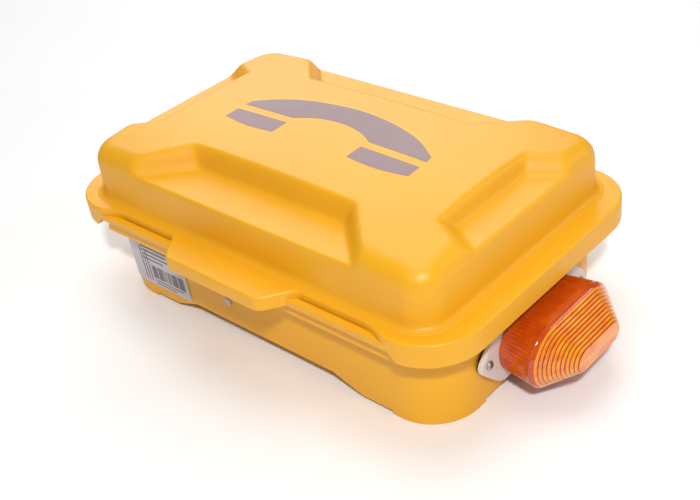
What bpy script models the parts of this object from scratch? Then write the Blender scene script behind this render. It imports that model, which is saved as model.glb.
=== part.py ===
"""Weatherproof call station: a lidded telephone box with an amber beacon on its side.

The box lies on its back, as it is delivered. +Z points out of the lid, X runs along the side
with the finger tab and Y runs from the tab to the hinge. The origin is the centre of the flat
pad under the back. Run with: blender --background --python part.py
"""
import math

import bmesh
import bpy
from mathutils import Matrix, Vector

MM = 0.001

# Driving sizes, in metres
WIDTH = 400 * MM            # lid flange along X
DEPTH = 250 * MM            # lid flange along Y
FLANGE_TOP = 94 * MM        # feet to the top of the lid's flange
LID_RISE = 53 * MM          # flange top to the crown of the lid
FLANGE_R = 44 * MM
BEACON_LENGTH = 102 * MM    # amber lens along Y
BEACON_REACH = 52 * MM      # amber lens out from its base
KEY_PITCH = 21 * MM
GAP = 0.3 * MM              # clearance between neighbouring pieces

# Lid edge and housing rim
LID_EDGE = 11.3 * MM
SKIRT_DEPTH = 19 * MM
SETBACK = 6.7 * MM          # thin part of the front edge stands back by this
SETBACK_HALF = WIDTH * 0.358
TAB_BASE = 66.5 * MM
TAB_TIP = 47.4 * MM
TAB_REACH = 17 * MM
SKIRT_T = 5.7 * MM
HALF_W = WIDTH / 2
HALF_D = DEPTH / 2
SEAM = FLANGE_TOP - LID_EDGE
SKIRT_Z = FLANGE_TOP - SKIRT_DEPTH
RIM_TOP = SEAM - GAP

# Housing
WALL_INSET = 18 * MM
BODY_HX = HALF_W - WALL_INSET
BODY_HY = HALF_D - WALL_INSET
BODY_R = 42 * MM
DRAFT = 2 * MM
WALL = 4 * MM
BELLY_Z = 3 * MM            # underside beside the feet
ARCH_Z = 14 * MM            # underside in the middle of each side
FLOOR_Z = 22 * MM
BAND_DEPTH = 15 * MM
FOOT_L = 8 * MM

# Raised centre of the lid
PLATEAU_HX = HALF_W - 22.5 * MM
PLATEAU_HY = HALF_D - 14.5 * MM
PLATEAU_R = 22 * MM
CROWN_Z = FLANGE_TOP + LID_RISE
CROWN_DROP = 5 * MM         # fall of the crown towards each pair of edges
RECESS_Z = FLANGE_TOP + LID_RISE * 0.63
LID_WALL = 4.5 * MM

# Hinge along the far side
HINGE_Y = HALF_D + 7.5 * MM
HINGE_Z = SKIRT_Z + 1 * MM
HINGE_X = WIDTH * 0.275
KNUCKLE_R = 6 * MM
PIN_R = 2.8 * MM
BORE_R = PIN_R + 0.4 * MM

# Fascia inside the box
FACE_TOP = RIM_TOP - 5.4 * MM
FACE_T = 3 * MM
FACE_Z = FACE_TOP - FACE_T

# Handset
HANDSET_X = -WIDTH * 0.2625
HANDSET_L = 2 * (BODY_HY - WALL) - 20 * MM
CAP_Y = HANDSET_L * 0.355

# Keypad and call button
PAD_X = WIDTH * 0.17
PAD_Y = -DEPTH * 0.08
KEY_HALF = 7.2 * MM
CALL_X = WIDTH * 0.385
CALL_Y = -DEPTH * 0.12

# Beacon on the +X wall
BEACON_Y = -2 * MM
BEACON_Z = 40.5 * MM
BEACON_H = 26 * MM          # half height of the lens
EAR = 19 * MM               # base plate ear beyond the lens

CORNER_STEPS = 6


# Building blocks ---------------------------------------------------------------------------

def fresh_scene():
    for obj in list(bpy.data.objects):
        bpy.data.objects.remove(obj)
    for name in ("call_station", "cutters"):
        group = bpy.data.collections.new(name)
        bpy.context.scene.collection.children.link(group)


def material(name, colour, rough, metal=0.0, alpha=1.0):
    made = bpy.data.materials.get(name)
    if made:
        return made
    made = bpy.data.materials.new(name)
    made.use_nodes = True
    shader = made.node_tree.nodes["Principled BSDF"]
    shader.inputs["Base Color"].default_value = (*colour, 1.0)
    shader.inputs["Roughness"].default_value = rough
    shader.inputs["Metallic"].default_value = metal
    shader.inputs["Alpha"].default_value = alpha
    return made


LOOKS = {
    "yellow_shell": ((0.90, 0.46, 0.04), 0.5, 0.0),
    "dark_rubber": ((0.03, 0.03, 0.03), 0.8, 0.0),
    "steel_plate": ((0.62, 0.62, 0.60), 0.35, 1.0),
    "black_plastic": ((0.03, 0.03, 0.035), 0.45, 0.0),
    "grey_plastic": ((0.55, 0.55, 0.56), 0.5, 0.0),
    "amber_lens": ((0.90, 0.28, 0.02), 0.2, 0.0),
    "label_film": ((0.78, 0.77, 0.78), 0.4, 0.0),
    "green_board": ((0.05, 0.22, 0.09), 0.5, 0.0),
    "key_metal": ((0.72, 0.72, 0.70), 0.3, 1.0),
    "call_red": ((0.65, 0.03, 0.02), 0.35, 0.0),
}


def finish(bm, name, look, origin=(0, 0, 0), group="call_station"):
    """The mesh as an object whose own origin is at the given world point."""
    bmesh.ops.remove_doubles(bm, verts=bm.verts, dist=1e-7)
    bmesh.ops.recalc_face_normals(bm, faces=bm.faces)
    bmesh.ops.translate(bm, verts=bm.verts, vec=-Vector(origin))
    mesh = bpy.data.meshes.new(name)
    bm.to_mesh(mesh)
    bm.free()
    obj = bpy.data.objects.new(name, mesh)
    obj.location = origin
    bpy.data.collections[group].objects.link(obj)
    if group == "cutters":
        obj.hide_render = True
        obj.display_type = "WIRE"
    else:
        mesh.materials.append(material(look, *LOOKS[look]))
    return obj


def add_loft(bm, rings, closed=False):
    """Skin between rings of equal length, capped at both ends unless the rings form a loop."""
    rows = [[bm.verts.new(p) for p in ring] for ring in rings]
    pairs = list(zip(rows, rows[1:]))
    if closed:
        pairs.append((rows[-1], rows[0]))
    for low, high in pairs:
        for i in range(len(low)):
            j = (i + 1) % len(low)
            bm.faces.new((low[i], low[j], high[j], high[i]))
    if not closed:
        bm.faces.new(rows[0])
        bm.faces.new(rows[-1])


def loft(name, look, rings, origin=(0, 0, 0), closed=False, group="call_station"):
    bm = bmesh.new()
    add_loft(bm, rings, closed)
    return finish(bm, name, look, origin, group)


def oblong(hx, hy, r, steps=CORNER_STEPS):
    """Rounded rectangle about the centre, as (a, b) points going anticlockwise."""
    r = min(r, hx, hy)
    points = []
    for sx, sy, start in ((1, 1, 0), (-1, 1, 90), (-1, -1, 180), (1, -1, 270)):
        for i in range(steps + 1):
            angle = math.radians(start + 90 * i / steps)
            a = sx * (hx - r) + r * math.cos(angle)
            points.append((a, sy * (hy - r) + r * math.sin(angle)))
    return points


def level(points, z):
    return [(x, y, z) for x, y in points]


def circle(r, count):
    turn = 2 * math.pi / count
    return [(r * math.cos(i * turn), r * math.sin(i * turn)) for i in range(count)]


def placed(points, axis, at, along):
    """Flat (a, b) points set on the plane across an axis, through `at` moved by `along`."""
    cx, cy, cz = at
    if axis == "X":
        return [(cx + along, cy + a, cz + b) for a, b in points]
    if axis == "Y":
        return [(cx - a, cy + along, cz + b) for a, b in points]
    return [(cx + a, cy + b, cz + along) for a, b in points]


def turned(name, look, profile, axis="Z", at=(0, 0, 0), count=20, hollow=False, **kw):
    """Round piece from (along, radius) pairs; a hollow one closes its profile on itself."""
    rings = [placed(circle(r, count), axis, at, along) for along, r in profile]
    return loft(name, look, rings, closed=hollow, **kw)


def prism(name, look, outline, z0, z1, **kw):
    return loft(name, look, [level(outline, z0), level(outline, z1)], **kw)


def add_box(bm, x0, x1, y0, y1, z0, z1):
    flat = [(x0, y0), (x1, y0), (x1, y1), (x0, y1)]
    add_loft(bm, [level(flat, z0), level(flat, z1)])


def boxes(name, look, spans, **kw):
    bm = bmesh.new()
    for span in spans:
        add_box(bm, *span)
    return finish(bm, name, look, **kw)


def cut(target, cutter, operation="DIFFERENCE"):
    step = target.modifiers.new(cutter.name, "BOOLEAN")
    step.operation = operation
    step.solver = "EXACT"
    step.object = cutter


def helper(make, name, *args, **kw):
    """A shape that only joins or cuts others."""
    return make(name, None, *args, group="cutters", **kw)


def join(target, tool):
    cut(target, tool, "UNION")


# Housing -----------------------------------------------------------------------------------

def wall_at(z, side=0.0):
    """Half sizes of the housing's outer wall at a height, moved out by side."""
    lean = DRAFT * (1 - (z - BELLY_Z) / (SKIRT_Z - BELLY_Z))
    return BODY_HX - lean + side, BODY_HY - lean + side


def housing():
    low = oblong(*wall_at(BELLY_Z), BODY_R - DRAFT)
    high = oblong(BODY_HX, BODY_HY, BODY_R)
    reach = SKIRT_T + 0.8 * MM
    rim = oblong(HALF_W - reach, HALF_D - reach, FLANGE_R - reach)
    mouth = oblong(BODY_HX - WALL, BODY_HY - WALL, BODY_R - WALL)
    floor = oblong(BODY_HX - WALL - DRAFT, BODY_HY - WALL - DRAFT, BODY_R - WALL - DRAFT)
    rings = [level(low, BELLY_Z), level(high, SKIRT_Z), level(rim, SKIRT_Z)]
    rings += [level(rim, RIM_TOP), level(mouth, RIM_TOP), level(floor, FLOOR_Z)]
    body = loft("housing", "yellow_shell", rings)

    front = -HALF_D + SETBACK
    half = SETBACK_HALF - 2 * MM
    band = [(-half, front), (half, front), (half - 6 * MM, front + 12 * MM)]
    band.append((-half + 6 * MM, front + 12 * MM))
    join(body, helper(prism, "rim_band", band, RIM_TOP - BAND_DEPTH, RIM_TOP - 0.02 * MM))

    for name, wide, tight, far, across in (
        ("arch_x", WIDTH * 0.275, WIDTH * 0.19, HALF_D + 5 * MM, "Y"),
        ("arch_y", DEPTH * 0.15, DEPTH * 0.07, HALF_W + 5 * MM, "X"),
    ):
        low_z = BELLY_Z - 1 * MM
        shape = [(-wide, low_z), (-tight, ARCH_Z), (tight, ARCH_Z), (wide, low_z)]
        shape += [(wide, -9 * MM), (-wide, -9 * MM)]
        ends = [placed(shape, across, (0, 0, 0), s * far) for s in (-1, 1)]
        cut(body, helper(loft, name, ends))

    for sx in (-1, 1):
        for sy in (-1, 1):
            add_foot(body, sx, sy)
    pad = (-40 * MM, 40 * MM, -30 * MM, 30 * MM, 0.0, ARCH_Z + 2 * MM)
    join(body, helper(boxes, "back_pad", [pad]))
    add_bosses(body)
    add_hinge_arms(body)
    cut(body, helper(turned, "vent_hole", [(-9 * MM, 3.4 * MM), (9 * MM, 3.4 * MM)],
                     "Y", (VENT_X, -BODY_HY, VENT_Z), 16))
    for i, y in enumerate(GLAND_Y):
        hole = [(-12 * MM, GLAND_R + GAP), (12 * MM, GLAND_R + GAP)]
        cut(body, helper(turned, f"gland_hole_{i}", hole, "X", (-BODY_HX, y, GLAND_Z), 16))
    pad = base_outline(-1 * MM)
    ends = [placed(pad, "X", (0, BEACON_Y, BEACON_Z), x) for x in (BODY_HX - WALL, BODY_HX)]
    join(body, helper(loft, "beacon_pad", ends))
    wire = [(-12 * MM, 6 * MM), (12 * MM, 6 * MM)]
    cut(body, helper(turned, "beacon_wire", wire, "X", (BODY_HX, BEACON_Y, BEACON_Z), 16))
    for i, (x, y) in enumerate(WALL_SCREWS):
        hole = [(-20 * MM, 3.5 * MM), (20 * MM, 3.5 * MM)]
        cut(body, helper(turned, f"wall_screw_{i}", hole, "Z", (x, y, FLOOR_Z / 2), 16))
    return body


def add_foot(body, sx, sy):
    hx, hy = wall_at(BELLY_Z)
    r = BODY_R - DRAFT
    outline = [(hx - r - FOOT_L, hy - 0.4 * MM)]
    for i in range(CORNER_STEPS + 1):
        angle = math.radians(90 - 90 * i / CORNER_STEPS)
        x = hx - r + (r - 0.4 * MM) * math.cos(angle)
        outline.append((x, hy - r + (r - 0.4 * MM) * math.sin(angle)))
    outline.append((hx - 0.4 * MM, hy - r - FOOT_L))
    outline += [(hx - 20 * MM, hy - r - FOOT_L), (hx - r - FOOT_L, hy - 20 * MM)]
    outline = [(sx * x, sy * y) for x, y in outline]
    join(body, helper(prism, f"foot_{sx}_{sy}", outline, 0.0, FLOOR_Z - 4 * MM))


def face_screws():
    """Where the four fascia screws sit, near the corners of the mouth."""
    x = BODY_HX - WALL - 16 * MM
    y = BODY_HY - WALL - 16 * MM
    return [(sx * x, sy * y) for sx in (-1, 1) for sy in (-1, 1)]


def board_posts():
    return [(BOARD_X + sx * 66 * MM, BOARD_Y + sy * 36 * MM) for sx in (-1, 1) for sy in (-1, 1)]


def add_bosses(body):
    for i, (x, y) in enumerate(face_screws()):
        post = [(FLOOR_Z - 3 * MM, 8 * MM), (FACE_Z - GAP, 8 * MM)]
        join(body, helper(turned, f"face_boss_{i}", post, "Z", (x, y, 0), 16))
        hole = [(FACE_Z - 14 * MM, 2.4 * MM), (FACE_Z + 6 * MM, 2.4 * MM)]
        cut(body, helper(turned, f"face_tap_{i}", hole, "Z", (x, y, 0), 12))
    for i, (x, y) in enumerate(board_posts()):
        post = [(FLOOR_Z - 3 * MM, 4 * MM), (BOARD_Z - GAP, 4 * MM)]
        join(body, helper(turned, f"board_post_{i}", post, "Z", (x, y, 0), 12))


def add_hinge_arms(body):
    arm_top = SKIRT_Z - 3 * MM
    for i, x in enumerate(ARM_CENTRES):
        x0 = x - 6 * MM
        x1 = x + 6 * MM
        beam = (x0, x1, BODY_HY - WALL + 1 * MM, HINGE_Y + 5.7 * MM, arm_top - 12 * MM, arm_top)
        riser_y = HINGE_Y - 5.7 * MM
        riser = (x0, x1, riser_y, HINGE_Y + 5.7 * MM, arm_top - 11 * MM, HINGE_Z)
        join(body, helper(boxes, f"arm_beam_{i}", [beam]))
        join(body, helper(boxes, f"arm_riser_{i}", [riser]))
        eye = [(-6 * MM, 5.7 * MM), (6 * MM, 5.7 * MM)]
        join(body, helper(turned, f"arm_eye_{i}", eye, "X", (x, HINGE_Y, HINGE_Z), 20))
        bore = [(-9 * MM, BORE_R), (9 * MM, BORE_R)]
        cut(body, helper(turned, f"arm_bore_{i}", bore, "X", (x, HINGE_Y, HINGE_Z), 20))


# Lid ---------------------------------------------------------------------------------------

def flange_outline():
    """Outline of the lid's flange: thin front edge set back between the corners, with a tab."""
    front = -HALF_D + SETBACK
    r = FLANGE_R
    points = []
    for sx, sy, start in ((1, 1, 0), (-1, 1, 90), (-1, -1, 180)):
        for i in range(CORNER_STEPS + 1):
            angle = math.radians(start + 90 * i / CORNER_STEPS)
            x = sx * (HALF_W - r) + r * math.cos(angle)
            points.append((x, sy * (HALF_D - r) + r * math.sin(angle)))
    tip = -HALF_D - TAB_REACH
    run = [(SETBACK_HALF + 10 * MM, -HALF_D), (SETBACK_HALF - 6 * MM, front), (TAB_BASE, front)]
    run += [(TAB_TIP + 5 * MM, tip + 5 * MM), (TAB_TIP, tip + 1 * MM), (TAB_TIP - 6 * MM, tip)]
    points += [(-x, y) for x, y in run]
    points += reversed(run)
    for i in range(CORNER_STEPS + 1):
        angle = math.radians(270 + 90 * i / CORNER_STEPS)
        points.append((HALF_W - r + r * math.cos(angle), -(HALF_D - r) + r * math.sin(angle)))
    return points


def skirt_outline():
    """C-shaped outline of the deep edge, open along the set-back part of the front."""
    outer = [p for p in flange_outline() if abs(p[0]) > SETBACK_HALF + 1 * MM]
    start = next(i for i, p in enumerate(outer) if p[0] > 0 and p[1] < -HALF_D + 1e-6)
    outer = outer[start:] + outer[:start]
    hx = HALF_W - SKIRT_T
    hy = HALF_D - SKIRT_T
    inner = oblong(hx, hy, FLANGE_R - SKIRT_T)
    tail = next(i for i, p in enumerate(inner) if p[0] > 0 and p[1] < -hy + 1e-6)
    inner = inner[tail:] + inner[:tail]
    ends = [(-SETBACK_HALF - 1.5 * MM, -hy), (SETBACK_HALF + 1.5 * MM, -hy)]
    return outer + [ends[0]] + inner[::-1] + [ends[1]]


def crown(x, y):
    across = CROWN_DROP * (x / (HALF_W * 0.825)) ** 2
    along = CROWN_DROP * (y / (HALF_D * 0.784)) ** 2
    return CROWN_Z - across - along


def under_crown(points, drop):
    return [(x, y, crown(x, y) - drop) for x, y in points]


def lid():
    body = prism("lid", "yellow_shell", flange_outline(), SEAM, FLANGE_TOP, origin=HINGE)
    skirt = helper(prism, "skirt", skirt_outline(), SKIRT_Z, SEAM + 5 * MM)
    join(body, skirt)

    px, py, pr = PLATEAU_HX, PLATEAU_HY, PLATEAU_R
    rings = [level(oblong(px + 3 * MM, py + 3 * MM, pr + 3 * MM), SEAM + 3 * MM)]
    for out, z in ((3, 0), (0.8, 2.2), (0, 5)):
        ring = oblong(px + out * MM, py + out * MM, pr + out * MM)
        rings.append(level(ring, FLANGE_TOP + z * MM))
    for inset, drop in ((0.3, 14), (1.4, 9), (3.8, 5), (7.5, 2), (13, 0.2)):
        ring = oblong(px - inset * MM, py - (inset * 1.35 + 1.6) * MM, pr - inset * MM)
        rings.append(under_crown(ring, drop * MM))
    for share in (0.75, 0.5, 0.25, 0.06):
        rings.append(under_crown(oblong(px * share, py * share, pr * share), 0))
    join(body, helper(loft, "plateau", rings))

    side = [(0.39 * DEPTH / 2 * 0.86, PLATEAU_HX - 30 * MM)]
    side_out = DEPTH * 0.22
    lip_out = WIDTH * 0.285
    lip_in = WIDTH * 0.195
    for s in (-1, 1):
        far = HALF_D + 4 * MM
        near = HALF_D * 0.56
        spread = far - (PLATEAU_HY - 4 * MM)
        lip = [(-lip_out - spread, s * far), (lip_out + spread, s * far)]
        lip += [(lip_in, s * near), (-lip_in, s * near)]
        cut(body, helper(prism, f"lip_recess_{s}", lip, RECESS_Z, CROWN_Z + 20 * MM))
        far = HALF_W + 4 * MM
        near = side[0][1]
        spread = (far - PLATEAU_HX) * 0.6
        flank = [(s * far, -side_out - spread), (s * far, side_out + spread)]
        flank += [(s * near, side[0][0]), (s * near, -side[0][0])]
        cut(body, helper(prism, f"side_recess_{s}", flank, RECESS_Z + 3 * MM, CROWN_Z + 20 * MM))

    low = oblong(px - LID_WALL - 1 * MM, py - LID_WALL - 1 * MM, pr - LID_WALL)
    top = oblong(px - LID_WALL - 2 * MM, py - LID_WALL - 4 * MM, pr - LID_WALL)
    rings = [level(low, SKIRT_Z - 9 * MM), level(low, FLANGE_TOP), level(top, RECESS_Z - LID_WALL)]
    cut(body, helper(loft, "lid_room", rings))
    heart_x = side[0][1] - LID_WALL - 1 * MM
    heart_y = HALF_D * 0.56 - LID_WALL - 1 * MM
    heart = oblong(heart_x, heart_y, 14 * MM)
    rings = [level(heart, RECESS_Z - LID_WALL - 6 * MM), under_crown(heart, LID_WALL)]
    rings += [under_crown(oblong(heart_x * f, heart_y * f, 14 * MM * f), LID_WALL) for f in (0.5, 0.1)]
    cut(body, helper(loft, "crown_room", rings))

    out = oblong(SEAL_HX + GAP, SEAL_HY + GAP, SEAL_R + GAP)
    inn = oblong(SEAL_HX - SEAL_W - GAP, SEAL_HY - SEAL_W - GAP, SEAL_R - SEAL_W - GAP)
    groove = [level(out, SEAM - 4 * MM), level(out, SEAM + 3.2 * MM)]
    groove += [level(inn, SEAM + 3.2 * MM), level(inn, SEAM - 4 * MM)]
    cut(body, helper(loft, "seal_groove", groove, closed=True))

    for i, s in enumerate((-1, 1)):
        x = s * HINGE_X
        lug = (x - 12 * MM, x + 12 * MM, HALF_D - 3 * MM, HINGE_Y, SKIRT_Z + 0.2 * MM, HINGE_Z + 6 * MM)
        join(body, helper(boxes, f"lug_{i}", [lug]))
        eye = [(-12 * MM, KNUCKLE_R), (12 * MM, KNUCKLE_R)]
        join(body, helper(turned, f"lug_eye_{i}", eye, "X", (x, HINGE_Y, HINGE_Z), 20))
        bore = [(-15 * MM, BORE_R), (15 * MM, BORE_R)]
        cut(body, helper(turned, f"lug_bore_{i}", bore, "X", (x, HINGE_Y, HINGE_Z), 20))
    keeper = (-13 * MM, 13 * MM, -PLATEAU_HY + 2 * MM, CATCH_Y + 9 * MM)
    join(body, helper(boxes, "keeper_boss", [(*keeper, FLANGE_TOP - 5 * MM, FLANGE_TOP + 4 * MM)]))
    return body


def lid_fittings():
    out = oblong(SEAL_HX, SEAL_HY, SEAL_R)
    inn = oblong(SEAL_HX - SEAL_W, SEAL_HY - SEAL_W, SEAL_R - SEAL_W)
    rings = [level(out, SEAM), level(out, SEAM + 2.9 * MM)]
    rings += [level(inn, SEAM + 2.9 * MM), level(inn, SEAM)]
    loft("lid_seal", "dark_rubber", rings, origin=HINGE, closed=True)
    keeper = (-11 * MM, 11 * MM, CATCH_Y, CATCH_Y + 7 * MM)
    z1 = FLANGE_TOP - 5 * MM - GAP
    boxes("catch_keeper", "steel_plate", [(*keeper, z1 - 2 * MM, z1)], origin=HINGE)
    base = (-9 * MM, 9 * MM, CATCH_Y + 0.5 * MM, CATCH_Y + 6.5 * MM)
    boxes("catch_magnet", "dark_rubber", [(*base, FACE_TOP + GAP, z1 - 2 * MM - GAP)])


def hinge_hardware():
    for side, s in (("left", -1), ("right", 1)):
        inner = s * (HINGE_X - 50 * MM)
        outer = s * (HINGE_X + 27 * MM)
        a, b = sorted((inner, outer))
        pin = [(a, PIN_R - 0.6 * MM), (a + 0.6 * MM, PIN_R), (b - 0.6 * MM, PIN_R), (b, PIN_R - 0.6 * MM)]
        turned(f"hinge_pin_{side}", "steel_plate", pin, "X", (0, HINGE_Y, HINGE_Z), 16)
        a, b = sorted((s * (HINGE_X - 30 * MM), s * (HINGE_X - 48 * MM)))
        coil = [(a, 5.6 * MM), (b, 5.6 * MM), (b, PIN_R + GAP), (a, PIN_R + GAP)]
        turned(f"lid_spring_{side}", "steel_plate", coil, "X", (0, HINGE_Y, HINGE_Z), 16, True)


# Fascia and what it carries ----------------------------------------------------------------

def fascia():
    inset = WALL + 1 * MM
    outline = oblong(BODY_HX - inset, BODY_HY - inset, BODY_R - inset)
    plate = prism("faceplate", "steel_plate", outline, FACE_Z, FACE_TOP)
    z0, z1 = FACE_Z - 5 * MM, FACE_TOP + 5 * MM
    wx, wy = 1.5 * KEY_PITCH + 1 * MM, 2 * KEY_PITCH + 1 * MM
    cut(plate, helper(boxes, "key_window", [(PAD_X - wx, PAD_X + wx, PAD_Y - wy, PAD_Y + wy, z0, z1)]))
    slots = []
    for i in range(-2, 3):
        y = SPEAKER_Y + i * 7 * MM
        half = (21 - 3 * abs(i)) * MM
        slots.append((SPEAKER_X - half, SPEAKER_X + half, y - 1.5 * MM, y + 1.5 * MM, z0, z1))
    cut(plate, helper(boxes, "speaker_slots", slots))
    holes = [("hook", HANDSET_X, CAP_Y, 4.6), ("cord", CORD_X, CORD_Y, 5.3)]
    holes += [("call", CALL_X, CALL_Y, 6.6), ("lamp", CALL_X, LAMP_Y, 2.9)]
    holes += [(f"screw_{i}", x, y, 2.6) for i, (x, y) in enumerate(face_screws())]
    for name, x, y, r in holes:
        hole = [(z0, r * MM), (z1, r * MM)]
        cut(plate, helper(turned, f"{name}_hole", hole, "Z", (x, y, 0), 16))
    for i, (x, y) in enumerate(face_screws()):
        head = [(FACE_Z - 11 * MM, 2 * MM), (FACE_TOP + GAP, 2 * MM), (FACE_TOP + GAP, 4.6 * MM)]
        head += [(FACE_TOP + 2 * MM, 4.6 * MM), (FACE_TOP + 3 * MM, 3.4 * MM)]
        turned(f"faceplate_screw_{i + 1}", "key_metal", head, "Z", (x, y, 0), 12)


def cradle():
    base = FACE_TOP + GAP
    half_l = HANDSET_L / 2 + 5 * MM
    tray = [(x + HANDSET_X, y) for x, y in oblong(32 * MM, half_l, 20 * MM)]
    body = prism("cradle", "black_plastic", tray, base, base + 2 * MM)
    for name, y in (("ear", CAP_Y), ("mouth", -CAP_Y)):
        well = [(base + 1 * MM, 30 * MM), (base + 8.4 * MM, 28.5 * MM), (base + 8.4 * MM, 26 * MM)]
        well.append((base + 1 * MM, 25.5 * MM))
        rim = helper(turned, f"{name}_well", well, "Z", (HANDSET_X, y, 0), 24, hollow=True)
        join(body, rim)
    hook = [(base - 3 * MM, 4.6 * MM), (base + 5 * MM, 4.6 * MM)]
    cut(body, helper(turned, "cradle_hook_hole", hook, "Z", (HANDSET_X, CAP_Y, 0), 16))
    stem_r = 4 * MM
    low = FACE_Z - 14 * MM
    lever = [(low, stem_r), (low + 4 * MM, stem_r), (low + 4 * MM, 7 * MM), (low + 6 * MM, 7 * MM)]
    lever += [(low + 6 * MM, stem_r), (base + 1.4 * MM, stem_r), (base + 2 * MM, stem_r - 0.8 * MM)]
    turned("hook_plunger", "grey_plastic", lever, "Z", (HANDSET_X, CAP_Y, 0), 16,
           origin=(HANDSET_X, CAP_Y, low))


def handset():
    z0 = FACE_TOP + GAP + 2 * MM + GAP
    start = (HANDSET_X, 0, z0)
    half = HANDSET_L / 2
    stations = [(-1.0, 14, 13, 23), (-0.965, 20, 9, 26.5), (-0.86, 24.5, 7, 28), (-0.6, 25, 7, 29)]
    stations += [(-0.5, 22, 9.5, 31), (-0.38, 18, 18, 33.5), (-0.15, 16.5, 21, 35.5)]
    stations += [(-y, w, low, high) for y, w, low, high in reversed(stations)]
    rings = []
    for y, w, low, high in stations:
        mid = (low + high) / 2
        ring = oblong(w * MM, (high - low) / 2 * MM, 7 * MM, 4)
        rings.append([(HANDSET_X + a, y * half, z0 + mid * MM + b) for a, b in ring])
    loft("handset_body", "black_plastic", rings, origin=start)
    for name, y in (("earpiece_cap", CAP_Y), ("mouthpiece_cap", -CAP_Y)):
        cap = [(0, 21.5 * MM), (1.6 * MM, 24 * MM), (6.6 * MM, 24 * MM)]
        turned(name, "black_plastic", cap, "Z", (HANDSET_X, y, z0), 24, origin=start)


def keypad():
    base = FACE_TOP + GAP
    hx, hy = 1.5 * KEY_PITCH + 7 * MM, 2 * KEY_PITCH + 7 * MM
    outline = [(PAD_X + x, PAD_Y + y) for x, y in oblong(hx, hy, 5 * MM, 3)]
    frame = prism("keypad_frame", "key_metal", outline, base, base + 4 * MM)
    centres = []
    for row in range(4):
        for column in range(3):
            x = PAD_X + (column - 1) * KEY_PITCH
            centres.append((x, PAD_Y + (1.5 - row) * KEY_PITCH))
    side = KEY_HALF + GAP
    cells = [(x - side, x + side, y - side, y + side, base - 5 * MM, base + 9 * MM) for x, y in centres]
    cut(frame, helper(boxes, "key_cells", cells))
    names = [str(i) for i in range(1, 10)] + ["star", "0", "hash"]
    for name, (x, y) in zip(names, centres):
        flange, body, crest = KEY_HALF + 1.3 * MM, KEY_HALF, KEY_HALF - 0.7 * MM
        steps = [(flange, -2.2), (flange, -0.6), (body, -0.6), (body, 6.0), (crest, 6.8)]
        rings = []
        for half, z in steps:
            ring = oblong(half, half, 2 * MM, 2)
            rings.append([(x + a, y + b, base + z * MM) for a, b in ring])
        loft(f"key_{name}", "key_metal", rings, origin=(x, y, base))
    board = (PAD_X - hx, PAD_X + hx, PAD_Y - hy, PAD_Y + hy, FACE_Z - 4 * MM, FACE_Z - 2.4 * MM)
    boxes("keypad_board", "green_board", [board])


def call_button():
    base = FACE_TOP + GAP
    ring = [(base, 18 * MM), (base + 4.5 * MM, 17 * MM), (base + 5.5 * MM, 15.4 * MM)]
    ring += [(base + 5.5 * MM, 14.2 * MM), (base, 14.2 * MM)]
    turned("call_bezel", "key_metal", ring, "Z", (CALL_X, CALL_Y, 0), 24, True)
    low = FACE_Z - 6 * MM
    knob = [(low, 6 * MM), (base + 5 * MM, 6 * MM), (base + 5 * MM, 13.4 * MM)]
    knob += [(base + 12 * MM, 13.4 * MM), (base + 14 * MM, 11.5 * MM), (base + 14.8 * MM, 6 * MM)]
    turned("call_button", "call_red", knob, "Z", (CALL_X, CALL_Y, 0), 24, origin=(CALL_X, CALL_Y, base))
    lamp = [(FACE_Z - 3 * MM, 2.5 * MM), (base, 2.5 * MM), (base, 4.5 * MM)]
    lamp += [(base + 1.6 * MM, 4.5 * MM), (base + 3 * MM, 2.4 * MM)]
    turned("status_lamp", "amber_lens", lamp, "Z", (CALL_X, LAMP_Y, 0), 16)
    plate = (CALL_X - 22 * MM, CALL_X + 14 * MM, SPEAKER_Y - 16 * MM, SPEAKER_Y + 16 * MM)
    boxes("instruction_plate", "label_film", [(*plate, base, base + 0.8 * MM)])
    bush = [(FACE_Z - 9 * MM, 5 * MM), (base, 5 * MM), (base, 8 * MM), (base + 5 * MM, 7.4 * MM)]
    bush += [(base + 8 * MM, 5.2 * MM), (base + 8 * MM, 1.9 * MM), (FACE_Z - 9 * MM, 1.9 * MM)]
    turned("cord_bush", "dark_rubber", bush, "Z", (CORD_X, CORD_Y, 0), 16, True)


# Electrics ---------------------------------------------------------------------------------

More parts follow.
